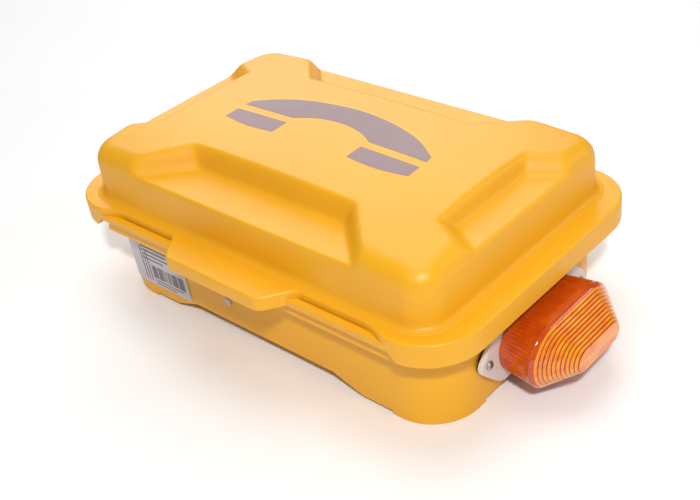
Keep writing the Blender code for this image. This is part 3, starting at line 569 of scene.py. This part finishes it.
def symbol():
    """Film symbol of a handset on the crown: an arched handle over two pads."""
    arch = [(-95, 0), (-93.5, 7.5), (-70, 23), (-38, 32.5), (0, 36.8), (38, 32.5), (70, 23), (93.5, 7.5),
            (95, 0), (40, 0), (27, 8.5), (0, 13.2), (-27, 8.5), (-40, 0)]
    pads = []
    for s in (-1, 1):
        pads.append([(s * 39, -8), (s * 95, -8), (s * 95.5, -22), (s * 67, -27), (s * 39, -24.5)])
    for name, outline in (("symbol_arch", arch), ("symbol_pad_left", pads[0]), ("symbol_pad_right", pads[1])):
        bm = bmesh.new()
        verts = [bm.verts.new((x * MM, y * MM, 0)) for x, y in outline]
        bm.faces.new(verts)
        soft = [v for v, (x, y) in zip(verts, outline) if (y > 8 and abs(x) < 90) or y == -27]
        eased(bm, soft, 12 * MM, 5, "VERTICES")
        if sum(f.normal.z for f in bm.faces) < 0:
            bmesh.ops.reverse_faces(bm, faces=bm.faces)
        for steps, across in ((range(-95, 96, 5), (1, 0, 0)), (range(-20, 36, 5), (0, 1, 0))):
            for step in steps:
                cut = bm.verts[:] + bm.edges[:] + bm.faces[:]
                place = [step * MM * share for share in across]
                bmesh.ops.bisect_plane(bm, geom=cut, dist=1e-7, plane_co=place, plane_no=across)
        for vert in bm.verts:
            vert.co.z = crown(vert.co.x, vert.co.y) - 0.06 * MM
        top = new_verts(bmesh.ops.extrude_face_region(bm, geom=bm.faces[:], use_keep_orig=True))
        bmesh.ops.translate(bm, verts=top, vec=(0, 0, 0.2 * MM))
        bmesh.ops.recalc_face_normals(bm, faces=bm.faces)
        show(bm, name, symbol_film, "lid", (), 32, False)


# Housing ---------------------------------------------------------------------------------

def housing():
    """Tray with its rim, front band, arched underside, feet, hinge arms and drilled walls."""
    outer = slab(oblong(*HOUSING), HOUSING_FOOT, 76 * MM, 0, 2.2 * MM, 4, WALL_LEAN)
    corners = [(0.1935, 0.1185, 0.0375), (-0.1935, 0.1185, 0.0375), (-0.1935, -0.1181, 0.0375),
               (0.1935, -0.1181, 0.0375)]
    rim = slab(corners, 75 * MM, RIM_TOP, 0.4 * MM, 0.6 * MM)
    rings = []
    for half, z, back in ((158, 67.4, 0.8), (157.6, 68.1, 0), (150.6, 82.0, 0), (150.3, 82.35, 0.35)):
        ring = [(-half, -118.3 + back), (half, -118.3 + back), (half - 4, -104), (-half + 4, -104)]
        rings.append([Vector((x * MM, y * MM, z * MM)) for x, y in ring])
    steps = [("UNION", rim), ("UNION", skinned(rings))]
    steps.append(("DIFFERENCE", slab(oblong(0.178, 0.103, 0.038), 24 * MM, 95 * MM)))
    for wide, tight, axis in ((110, 76, "Y"), (37.5, 17.5, "X")):
        arch = [(-wide, 2), (-tight, 14), (tight, 14), (wide, 2), (wide, -9), (-wide, -9)]
        reach = 0.13 if axis == "Y" else 0.205
        rings = []
        for end in (-reach, reach):
            flat = [(a * MM, end, z * MM) if axis == "Y" else (end, a * MM, z * MM) for a, z in arch]
            rings.append([Vector(p) for p in flat])
        steps.append(("DIFFERENCE", skinned(rings)))
    body = combined(outer, *steps)
    body = combined(body, *feet(), *hinge_arms())
    cuts = pin_bores(32)
    x, _, z = centre("vent_plug")
    cuts.append(("DIFFERENCE", turned([(0, -9), (3.4, -9), (3.4, 9), (0, 9)], (x, -HOUSING[1], z), "Y")))
    for y in (-0.015, 0.035):
        gland_hole = [(0, -12), (8.3, -12), (8.3, 12), (0, 12)]
        cuts.append(("DIFFERENCE", turned(gland_hole, (-HOUSING[0], y, 0.044), "X")))
    body = combined(body, *cuts)
    show(body, "housing_shell", yellow, "base", ["housing"])


def feet():
    """Four drilled corner feet and the pad in the middle."""
    steps = []
    for sx in (-1, 1):
        for sy in (-1, 1):
            foot = [(132, 104.4, 0), (179.4, 104.4, 40), (179.4, 57, 0), (160, 57, 4), (132, 85, 4)]
            foot = [(sx * x * MM, sy * y * MM, r * MM) for x, y, r in foot]
            steps.append(("UNION", slab(foot, 0, 18 * MM, 0, 0.9 * MM)))
            hole = turned([(0, -5), (3.5, -5), (3.5, 40), (0, 40)], (sx * 0.144, sy * 0.0425, 0), "Z", 32)
            steps.append(("DIFFERENCE", hole))
    steps.append(("UNION", slab(oblong(0.04, 0.03, 0.004), 0, 16 * MM, 0, 0.8 * MM)))
    return steps


def hinge_arms():
    steps = []
    for x in (-0.13, -0.09, 0.09, 0.13):
        arm = [(104, 60), (138, 60), (138, 76), (127, 76), (127, 72), (104, 72)]
        rings = [[Vector((x + side, y * MM, z * MM)) for y, z in arm] for side in (-0.006, 0.006)]
        steps.append(("UNION", skinned(rings)))
        eye = [(0, -6), (5.4, -6), (5.7, -5.7), (5.7, 5.7), (5.4, 6), (0, 6)]
        steps.append(("UNION", turned(eye, (x, HINGE.y, HINGE.z), "X")))
    return steps


def lean_at(z):
    """How far the housing's walls stand in from the rim at a height."""
    return WALL_LEAN * (1 - (z - HOUSING_FOOT) / HOUSING_RISE)


def wall_y(z, out=0.0):
    return -(HOUSING[1] - lean_at(z)) - out


def plate_on_wall(x0, x1, z0, z1, lift, thick):
    """Thin piece lying on the front wall, which leans out a little towards its top."""
    bm = brick(x0, x1, 0, thick, z0, z1)
    for vert in bm.verts:
        vert.co.y = wall_y(vert.co.z, lift + (0 if vert.co.y > thick / 2 else thick))
    return bm


def label():
    """Film label bent round the front left corner, its printed bars, and the vent's disc."""
    low, high = 0.014, 0.058
    stops = [(-0.082, 0), (-0.14, 0)] + [(None, d) for d in (4, 8, 12, 16, 20, 24)]
    rings = []
    for z, out in ((low, 0.3), (low, 0.65), (high, 0.65), (high, 0.3)):
        hx, hy, r = [size - lean_at(z) + out * MM for size in HOUSING]
        ring = []
        for x, degrees in stops:
            a = math.radians(degrees)
            bend = r - r * math.cos(a) if x is None else 0
            ring.append(Vector((x or (-hx + r - r * math.sin(a)), -hy + bend, z)))
        rings.append(ring)
    bm = bmesh.new()
    first = [bm.verts.new(p) for p in rings[0]]
    first_edges = [bm.edges.new(pair) for pair in zip(first, first[1:])]
    row, edges = first, first_edges
    for ring in rings[1:]:
        row = drawn_on(bm, row, edges, ring)
        edges = [bm.edges.get(pair) for pair in zip(row, row[1:])]
    bmesh.ops.bridge_loops(bm, edges=edges + first_edges)
    bmesh.ops.holes_fill(bm, edges=bm.edges, sides=4)
    bmesh.ops.recalc_face_normals(bm, faces=bm.faces)
    show(bm, "rating_label_film", film, "base", ["rating_label"], 25, False)
    show(together(*label_bars()), "rating_label_marks", film_ink, "base", (), 30, False)
    x, _, z = centre("vent_plug")
    disc = [(0, -1.0), (3.0, -0.9), (3.7, -0.6), (4.0, 0.1), (4.0, 0.7), (3.0, 0.7), (3.0, 6), (0, 6)]
    disc = turned(disc, (x, wall_y(z) - 0.8 * MM, z), "Y")
    show(disc, "vent_disc", film, "base", ["vent_plug"])


def label_bars():
    """Plain bars standing for the printing: a bar code, four lines, three upright lines, two small ones."""
    places = []
    x = -0.1275
    widths = [7, 3, 5, 2, 8, 3, 3, 6, 2, 4, 9, 3, 5, 2, 6, 4, 2, 7, 3, 5, 3, 8, 2, 4, 6, 3, 2, 7, 4, 3]
    for i, width in enumerate(widths * 2):
        inked = i % 2 == 0
        wide = width * 0.17 * MM + (0.25 * MM if inked else 0)
        if inked and x < -0.0855:
            places.append((x, x + wide, 0.0225, 0.0355))
        x += wide
    for i, end in enumerate((-98, -104, -92, -110)):
        z = 0.053 - i * 0.0042
        places.append((-136 * MM, end * MM, z, z + 0.0014))
    for i, end in enumerate((52, 44, 50)):
        x0 = -0.1385 + i * 0.0036
        places.append((x0, x0 + 0.0012, 18 * MM, end * MM))
    for i, end in enumerate((-90, -100)):
        z = 0.0195 - i * 0.003
        places.append((-127 * MM, end * MM, z, z + 0.001))
    return [plate_on_wall(*place, LABEL_LIFT, INK) for place in places]


# Beacon ----------------------------------------------------------------------------------

def stadium(hy, hz, x, steps=26, wave=0.0):
    """Ring across X: straight top and bottom, round ends, which may carry a fine wave."""
    ring = []
    flat = max(0.0, hy - hz)
    for side in (1, -1):
        for i in range(steps * 2 + 1):
            a = math.pi / 2 - math.pi * i / (steps * 2)
            r = hz - (wave if i % 2 else 0)
            y, z = (flat + r * math.cos(a)) * side, r * math.sin(a) * side
            ring.append(Vector((x, BEACON_Y + y, BEACON_Z + z)))
        if hy > hz:
            for i in range(1, 12):
                ring.append(Vector((x, BEACON_Y + flat * side * (1 - i / 6), BEACON_Z - hz * side)))
    return ring


def beacon():
    beacon_lens()
    ear = [(70, 0), (48, 22.5), (41, 26), (-41, 26), (-48, 22.5), (-70, 0), (-48, -22.5), (-41, -26), (41, -26),
           (48, -22.5)]
    for node, look, slot, shrink, edge in (("beacon_base", grey, "grey_plastic", 0, 0.9),
                                           ("beacon_gasket", soft_black, "dark_rubber", 0.5, 0.0)):
        low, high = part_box(node)
        corners = [((y - math.copysign(shrink, y)) * MM, z * MM, 7 * MM if not z else 6 * MM) for y, z in ear]
        bm = slab(corners, 0, high.x - low.x, edge * MM, 0)
        spin = Matrix(((0, 0, 1, low.x), (1, 0, 0, BEACON_Y), (0, 1, 0, BEACON_Z), (0, 0, 0, 1)))
        bmesh.ops.transform(bm, matrix=spin, verts=bm.verts)
        show(bm, node + "_plate", look, "base", [node])
    for name in ("beacon_screw_1", "beacon_screw_2"):
        _, y, z = centre(name)
        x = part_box(name)[0].x
        head = turned([(0, 0), (3.6, 0), (3.6, 0.7), (3.0, 1.5), (1.6, 1.95), (0, 2.0)], (x, y, z), "X", 32)
        cross = [("DIFFERENCE", brick(x + 0.8 * MM, x + 4 * MM, y - a, y + a, z - b, z + b))
                 for a, b in ((2 * MM, 0.4 * MM), (0.4 * MM, 2 * MM))]
        show(combined(head, *cross), name + "_head", steel_z, "base", [name])
    lamp = [(0, 0), (13, 0), (13, 3), (12, 4), (7, 4), (6.6, 8), (6, 12), (6, 17), (5, 20), (3, 21.6), (0, 22)]
    lamp = turned(lamp, (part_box("beacon_lamp")[0].x, BEACON_Y, BEACON_Z), "X")
    show(lamp, "beacon_lamp_holder", pale_grey, "base", ["beacon_lamp"])


def beacon_lens():
    """Hollow lens: a fluted skirt, a rounded rim and a ribbed nose that draws in to a small flat."""
    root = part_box("beacon_lens")[0].x
    rim, front = root + 0.028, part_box("beacon_lens")[1].x
    hy, hz, flute, ribs = 0.051, 0.026, 0.55 * MM, 10
    outside = [stadium(hy - 4 * MM, hz - 2.5 * MM, root, wave=flute)]
    for share in (0.25, 0.5, 0.75, 0.93):
        grow = share * 4 * MM
        outside.append(stadium(hy - 4 * MM + grow, hz - 2.5 * MM + grow * 0.62, root + (rim - root) * share,
                               wave=flute))
    start = rim + 1.7 * MM
    outside.append(stadium(hy - 0.1 * MM, hz - 0.1 * MM, rim - 1.2 * MM))
    outside.append(stadium(hy - 0.5 * MM, hz - 0.5 * MM, rim))
    outside.append(stadium(hy - 2.2 * MM, hz - 2.0 * MM, start))
    length = front - 0.6 * MM - start
    for i in range(ribs):
        for part, drop in ((0.0, 0.0), (0.35, 0.35 * MM), (0.74, -0.1 * MM), (0.88, -0.7 * MM)):
            t = (i + part) / ribs
            y = (hy - 2.2 * MM) + (hy * 0.52 - hy + 2.2 * MM) * t
            z = (hz - 2.2 * MM) + (hz * 0.34 - hz + 2.2 * MM) * t
            outside.append(stadium(y + drop * 0.8, z + drop * 0.8, start + length * t))
    outside.append(stadium(hy * 0.52, hz * 0.34, front - 0.6 * MM))
    outside.append(stadium(hy * 0.52 - 0.7 * MM, hz * 0.34 - 0.7 * MM, front))
    outer = skinned(outside, (False, True))
    inside = [stadium(hy - 6.4 * MM, hz - 4.9 * MM, root), stadium(hy - 3.4 * MM, hz - 3.4 * MM, rim - 1.5 * MM),
              stadium(hy * 0.5, hz * 0.22, front - 3 * MM)]
    inner = skinned(inside, (False, True))
    bmesh.ops.reverse_faces(inner, faces=inner.faces)
    lens = together(outer, inner)
    bmesh.ops.bridge_loops(lens, edges=[e for e in lens.edges if e.is_boundary])
    shown = show(lens, "beacon_lens_ribbed", amber_skirt, "base", ["beacon_lens"], 28, False)
    shown.data.materials.append(ribbed_amber(start, length / ribs))
    for face in shown.data.polygons:
        if face.center.x > start:
            face.material_index = 1


# Inside the box --------------------------------------------------------------------------

def handset():
    """Handset lying face down: a flowing grip between two round heads with drilled caps."""
    low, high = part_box("handset_body")
    cx, z0, half = (low.x + high.x) / 2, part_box("earpiece_cap")[0].z, (high.y - low.y) / 2
    # Place along the half length, then half width, underside and top in millimetres.
    stations = [(-1.0, 8, 15, 21), (-0.99, 14, 12.5, 23.5), (-0.965, 19, 10, 26), (-0.92, 22.5, 8, 27.5),
                (-0.86, 24.3, 7, 28), (-0.74, 25, 6.9, 28.6), (-0.62, 24.6, 7, 29), (-0.55, 23.4, 8, 30),
                (-0.48, 21, 11, 31.5), (-0.42, 19.2, 15, 33), (-0.34, 17.6, 18.4, 34), (-0.2, 16.7, 20.4, 35),
                (-0.08, 16.4, 21, 35.5)]
    stations += [(-y, w, a, b) for y, w, a, b in reversed(stations)]
    around, squareness = 28, 0.55
    rings = []
    for y, wide, base, top in stations:
        ring = []
        for i in range(around):
            a = 2 * math.pi * i / around
            ca, sa = math.cos(a), math.sin(a)
            px = math.copysign(abs(ca) ** squareness, ca) * wide
            pz = math.copysign(abs(sa) ** squareness, sa) * (top - base) / 2
            ring.append(Vector((cx + px * MM, y * half, z0 + (base + top) / 2 * MM + pz * MM)))
        rings.append(ring)
    body = show(skinned(rings), "handset_shell", black, "handset", ["handset_body"], 50, False)
    even = body.modifiers.new("even", "SUBSURF")
    even.levels = 1
    even.render_levels = 1
    for node in ("earpiece_cap", "mouthpiece_cap"):
        cy, z = centre(node)[1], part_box(node)[0].z
        cap = turned([(0, 0.5), (10, 0.4), (19, 0.1), (21.5, 0), (23, 0.5), (24, 1.8), (24, 4.2), (23.4, 4.6),
                      (23.4, 6.6), (0, 6.6)], (cx, cy, z), "Z")
        holes = []
        for ring, count in ((0, 1), (5, 6), (10, 12)):
            for i in range(count):
                a = 2 * math.pi * i / count
                at = (cx + ring * MM * math.cos(a), cy + ring * MM * math.sin(a), z)
                holes.append(turned([(0, -2), (1.1, -2), (1.1, 3), (0, 3)], at, "Z", 8))
        cap = combined(cap, ("DIFFERENCE", together(*holes)))
        show(cap, node + "_drilled", black, "handset", [node])


def cradle():
    low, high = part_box("cradle")
    cx, half = (low.x + high.x) / 2, (high.y - low.y) / 2
    tray = slab(oblong(0.032, half, 0.02, cx), low.z, low.z + 2 * MM, 0.6 * MM, 0)
    cy = centre("earpiece_cap")[1]
    steps = []
    for y in (cy, -cy):
        well = [(25.5, 1), (30, 1), (29.2, 5), (28.5, 7.8), (28, 8.4), (26.6, 8.4), (26, 7.8), (25.6, 4)]
        steps.append(("UNION", turned(well, (cx, y, low.z), "Z")))
    steps.append(("DIFFERENCE", turned([(0, -3), (4.6, -3), (4.6, 5), (0, 5)], (cx, cy, low.z), "Z")))
    show(combined(tray, *steps), "cradle_moulding", black, "base", ["cradle"])


def numeral(text, size, at, depth, name):
    """A character as a thin solid, centred on a place."""
    curve = bpy.data.curves.new(name, "FONT")
    curve.body = text
    curve.size = size
    curve.extrude = depth
    curve.align_x = "CENTER"
    curve.align_y = "CENTER"
    curve.resolution_u = 3
    obj = bpy.data.objects.new(name, curve)
    bpy.context.scene.collection.objects.link(obj)
    graph = bpy.context.evaluated_depsgraph_get()
    mesh = bpy.data.meshes.new_from_object(obj.evaluated_get(graph))
    bpy.data.objects.remove(obj)
    bm = bmesh.new()
    bm.from_mesh(mesh)
    bmesh.ops.translate(bm, verts=bm.verts, vec=at)
    return bm


def keypad():
    for key, legend in [*[("key_" + n, n) for n in "123456789"], ("key_star", "*"), ("key_0", "0"),
                        ("key_hash", "#")]:
        key_cap(key, legend)
    low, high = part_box("keypad_frame")
    cx, cy, _ = centre("keypad_frame")
    bezel = slab(oblong((high.x - low.x) / 2, (high.y - low.y) / 2, 0.005, cx, cy), low.z, high.z, 1.0 * MM,
                 0.3 * MM)
    cells = []
    for key in [*"123456789", "star", "0", "hash"]:
        x, y, _ = centre("key_" + key)
        cells.append(slab(oblong(KEY_CELL, KEY_CELL, 0.002, x, y), low.z - 5 * MM, high.z + 5 * MM))
    bezel = combined(bezel, ("DIFFERENCE", together(*cells)))
    show(bezel, "keypad_bezel", steel_fine, "base", ["keypad_frame"])


def key_cap(node, legend):
    """Key on its square stem, with a dished top and a raised legend."""
    low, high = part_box(node)
    cx, cy, _ = centre(node)
    stem = slab(oblong(0.0085, 0.0085, 0.002, cx, cy), low.z, low.z + 1.6 * MM)
    cap = slab(oblong(0.0072, 0.0072, 0.002, cx, cy), low.z + 1 * MM, high.z, 1.0 * MM, 0, 4)
    dish = bmesh.new()
    bmesh.ops.create_uvsphere(dish, u_segments=32, v_segments=24, radius=DISH_R)
    bmesh.ops.translate(dish, verts=dish.verts, vec=(cx, cy, high.z + DISH_R - 0.35 * MM))
    cap = combined(stem, ("UNION", cap), ("DIFFERENCE", dish))
    show(cap, node + "_cap", steel_fine, node, [node])
    star_drop = 0.001 if legend == "*" else 0
    mark = numeral(legend, 0.0085, (cx, cy - star_drop, high.z - 0.28 * MM), 0.1 * MM, "mark")
    show(mark, node + "_legend", plate_ink, node, (), 30, False)


def call_point():
    """Call knob in its ring, status lamp, cord bush, hook pin and the instruction card."""
    x, y, _ = centre("call_button")
    at = (x, y, FACE)
    knob = turned([(0, -9.3), (6, -9.3), (6, 5), (12.8, 5), (13.4, 5.6), (13.4, 11), (12.9, 12.6), (11.6, 13.8),
                   (9.6, 14.5), (7, 14.2), (4, 13.9), (0, 13.8)], at, "Z", 64)
    show(knob, "call_knob", red, "call_button", ["call_button"])
    ring = turned([(14.2, 0), (18, 0), (17.8, 2.4), (17, 4.4), (16, 5.3), (15, 5.5), (14.4, 5.2), (14.2, 4.6)],
                  at, "Z", 64)
    show(ring, "call_ring", steel_fine, "base", ["call_bezel"])
    x, y, _ = centre("status_lamp")
    small_dome = turned([(0, -6.3), (2.5, -6.3), (2.5, 0), (4.5, 0), (4.5, 0.9), (4.0, 1.5), (3.1, 2.3),
                         (1.9, 2.8), (0, 3.0)], (x, y, FACE), "Z", 32)
    show(small_dome, "status_lamp_lens", amber_clear, "base", ["status_lamp"])
    x, y, _ = centre("cord_bush")
    bush = turned([(1.9, -12.3), (5, -12.3), (5, 0), (8, 0), (8, 2), (7.4, 3), (6.4, 3.2), (6.4, 4), (7, 4.2),
                   (6.6, 5.2), (5.8, 5.4), (5.8, 6.2), (6, 6.4), (5.2, 8), (1.9, 8)], (x, y, FACE), "Z", 40)
    show(bush, "cord_bush_ribbed", soft_black, "base", ["cord_bush"])
    x, y, _ = centre("hook_plunger")
    pin = turned([(0, 0), (3.6, 0), (4, 0.4), (4, 4), (7, 4), (7, 6), (4, 6), (4, 18.4), (3.4, 19.1), (2, 19.3),
                  (0, 19.3)], (x, y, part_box("hook_plunger")[0].z), "Z", 32)
    show(pin, "hook_pin", pale_grey, "hook", ["hook_plunger"])
    low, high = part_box("instruction_plate")
    cx, cy, _ = centre("instruction_plate")
    card = slab(oblong((high.x - low.x) / 2, (high.y - low.y) / 2, 0.002, cx, cy), low.z, high.z, 0.2 * MM, 0)
    show(card, "instruction_card", film, "base", ["instruction_plate"])
    rows = []
    x = low.x + 4.5 * MM
    for i, wide in enumerate((26, 22, 27, 18)):
        y = high.y - (6.5 + i * 5.2) * MM
        rows.append(brick(x, low.x + (4.5 + wide) * MM, y - 0.6 * MM, y + 0.6 * MM, high.z - 0.02 * MM,
                          high.z + 0.06 * MM))
    show(together(*rows), "instruction_rows", plate_ink, "base", (), 30, False)


def screws():
    for i in range(1, 5):
        node = f"faceplate_screw_{i}"
        x, y, _ = centre(node)
        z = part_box(node)[1].z - 3 * MM
        head = turned([(0, -14), (2, -14), (2, 0.3), (4.6, 0.3), (4.6, 1.2), (4.2, 2.1), (3.2, 2.8), (0, 3.0)],
                      (x, y, z), "Z", 32)
        cross = [("DIFFERENCE", brick(x - a, x + a, y - b, y + b, z + 1.4 * MM, z + 5 * MM))
                 for a, b in ((2.4 * MM, 0.45 * MM), (0.45 * MM, 2.4 * MM))]
        show(combined(head, *cross), node + "_head", steel_z, "base", [node])


def speaker():
    x, y, _ = centre("speaker")
    driver = turned([(0, -24), (11.6, -24), (12, -23.6), (12, -14.4), (13, -14), (25, -5), (26, -4.6), (26, -0.3),
                     (23.5, -0.3), (22, -2.2), (20, -1.2), (17, -3.5), (8, -9.5), (6, -8.2), (0, -6.6)],
                    (x, y, 74 * MM), "Z", 56)
    show(driver, "speaker_driver", soft_black, "base", ["speaker"], 30, False)


def hinges():
    """A turned pin and a wound spring at each hinge."""
    for side in ("left", "right"):
        low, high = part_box(f"hinge_pin_{side}")
        end = (high.x - low.x) / MM
        pin = turned([(0, 0), (2.2, 0), (2.8, 0.6), (2.8, end - 0.6), (2.2, end), (0, end)],
                     (low.x, HINGE.y, HINGE.z), "X", 32)
        show(pin, f"hinge_pin_{side}_turned", steel_z, "base", [f"hinge_pin_{side}"])
        low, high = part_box(f"lid_spring_{side}")
        bm = bmesh.new()
        bmesh.ops.create_circle(bm, cap_ends=False, segments=8, radius=0.95 * MM)
        bmesh.ops.rotate(bm, verts=bm.verts, matrix=Matrix.Rotation(math.pi / 2, 3, "X"))
        bmesh.ops.translate(bm, verts=bm.verts, vec=(low.x + 1 * MM, HINGE.y, HINGE.z + 4.5 * MM))
        turns, steps = 7.5, 24
        bmesh.ops.spin(bm, geom=bm.verts[:] + bm.edges[:], cent=HINGE, axis=(1, 0, 0),
                       angle=2 * math.pi * turns, dvec=((high.x - low.x - 2 * MM) / (turns * steps), 0, 0),
                       steps=int(turns * steps))
        bmesh.ops.remove_doubles(bm, verts=bm.verts, dist=1e-7)
        bmesh.ops.holes_fill(bm, edges=bm.edges, sides=8)
        bmesh.ops.recalc_face_normals(bm, faces=bm.faces)
        node = f"lid_spring_{side}"
        show(bm, node + "_coil", spring_steel, "base", [node], 60, False)


def glands():
    for i in (1, 2):
        _, y, z = centre(f"cable_gland_{i}")
        at = (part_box(f"cable_gland_{i}")[1].x - 17 * MM, y, z)
        body = turned([(0, -14), (4, -14), (5, -13.4), (7.8, -13), (8.6, -12.4), (9.5, -5.6), (9.5, -5), (7.7, -5),
                       (7.7, 17), (0, 17)], at, "X", 40)
        nut = turned([(0, -5), (10.6, -5), (11, -4.6), (11, -0.4), (10.6, 0), (0, 0)], at, "X", 6)
        show(together(body, nut), f"cable_gland_{i}_body", black, "base", [f"cable_gland_{i}"])


def repaint(node, look):
    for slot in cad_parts[node].material_slots:
        slot.material = look


def boards():
    """Chips on the main board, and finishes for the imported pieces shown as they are."""
    low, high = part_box("main_board")
    chips = []
    # Place as shares of the board, then length, depth and height in millimetres.
    for u, v, wide, deep, tall in ((0.72, 0.2, 14, 14, 2), (0.85, 0.55, 10, 6, 1.6), (0.72, 0.8, 18, 8, 2.4),
                                   (0.9, 0.82, 8, 8, 9), (0.9, 0.2, 8, 8, 9), (0.3, 0.1, 10, 5, 3)):
        x, y = low.x + u * (high.x - low.x), low.y + v * (high.y - low.y)
        chips.append(brick(x - wide / 2 * MM, x + wide / 2 * MM, y - deep / 2 * MM, y + deep / 2 * MM,
                           high.z - 0.1 * MM, high.z + tall * MM, 0.4 * MM))
    show(together(*chips), "main_board_parts", black, "base")
    for node, look in (("main_board", board_lacquer), ("keypad_board", board_lacquer), ("faceplate", steel_x),
                       ("terminal_block", red), ("power_module", black), ("gland_nut_1", black),
                       ("gland_nut_2", black), ("catch_keeper", steel_z), ("catch_magnet", soft_black)):
        repaint(node, look)


# Studio ----------------------------------------------------------------------------------

def studio():
    """Pale floor, four area lights and the camera."""
    bm = bmesh.new()
    bmesh.ops.create_grid(bm, x_segments=1, y_segments=1, size=6)
    bmesh.ops.translate(bm, verts=bm.verts, vec=(0, 0, -0.05 * MM))
    floor = thing(bm, "studio_floor")
    paint = Finish("studio_floor_paint")
    paint.colour(paint.ramp(paint.noise(3), [(0.3, linear((247, 247, 247))), (0.7, linear((250, 250, 250)))]))
    paint.roughness(paint.levels(paint.noise(20), 0.85, 0.95))
    floor.data.materials.append(paint.material)
    world = bpy.data.worlds.new("studio_world")
    bpy.context.scene.world = world
    world.use_nodes = True
    world.node_tree.nodes["Background"].inputs[0].default_value = (1, 1, 1, 1)
    world.node_tree.nodes["Background"].inputs[1].default_value = WORLD_LIGHT
    for name, place, size, power in (
        ("key", (0.95, -0.85, 1.35), 0.12, 20),
        ("sheen_panel", (-1.25, 1.2, 1.1), 1.5, 17),
        ("overhead", (-0.1, 0.2, 1.7), 1.0, 9),
        ("edge_panel", (1.3, 1.35, 0.95), 0.7, 4),
    ):
        lamp = bpy.data.lights.new(name, "AREA")
        lamp.energy = power
        lamp.size = size
        holder = bpy.data.objects.new(name, lamp)
        holder.location = place
        aim = Vector((0, 0, 0.08)) - Vector(place)
        holder.rotation_euler = aim.to_track_quat("-Z", "Y").to_euler()
        bpy.context.scene.collection.objects.link(holder)
    lens = bpy.data.cameras.new("camera")
    lens.lens = 56.06
    lens.sensor_width = 36
    lens.shift_x = -0.0095
    lens.shift_y = 0.0127
    lens.clip_start = 0.02
    camera = bpy.data.objects.new("camera", lens)
    right = Vector((0.74513, 0.65643, -0.11782))
    up = Vector((-0.30336, 0.49094, 0.81667))
    back = Vector((0.59393, -0.57278, 0.56495))
    turn = Matrix((right, up, back)).transposed().to_4x4()
    camera.matrix_world = Matrix.Translation((0.54353, -0.51540, 0.53657)) @ turn
    bpy.context.scene.collection.objects.link(camera)
    bpy.context.scene.camera = camera
    bpy.context.scene.view_settings.view_transform = "Standard"


lid()
symbol()
housing()
label()
beacon()
handset()
cradle()
keypad()
call_point()
screws()
speaker()
hinges()
glands()
boards()
studio()
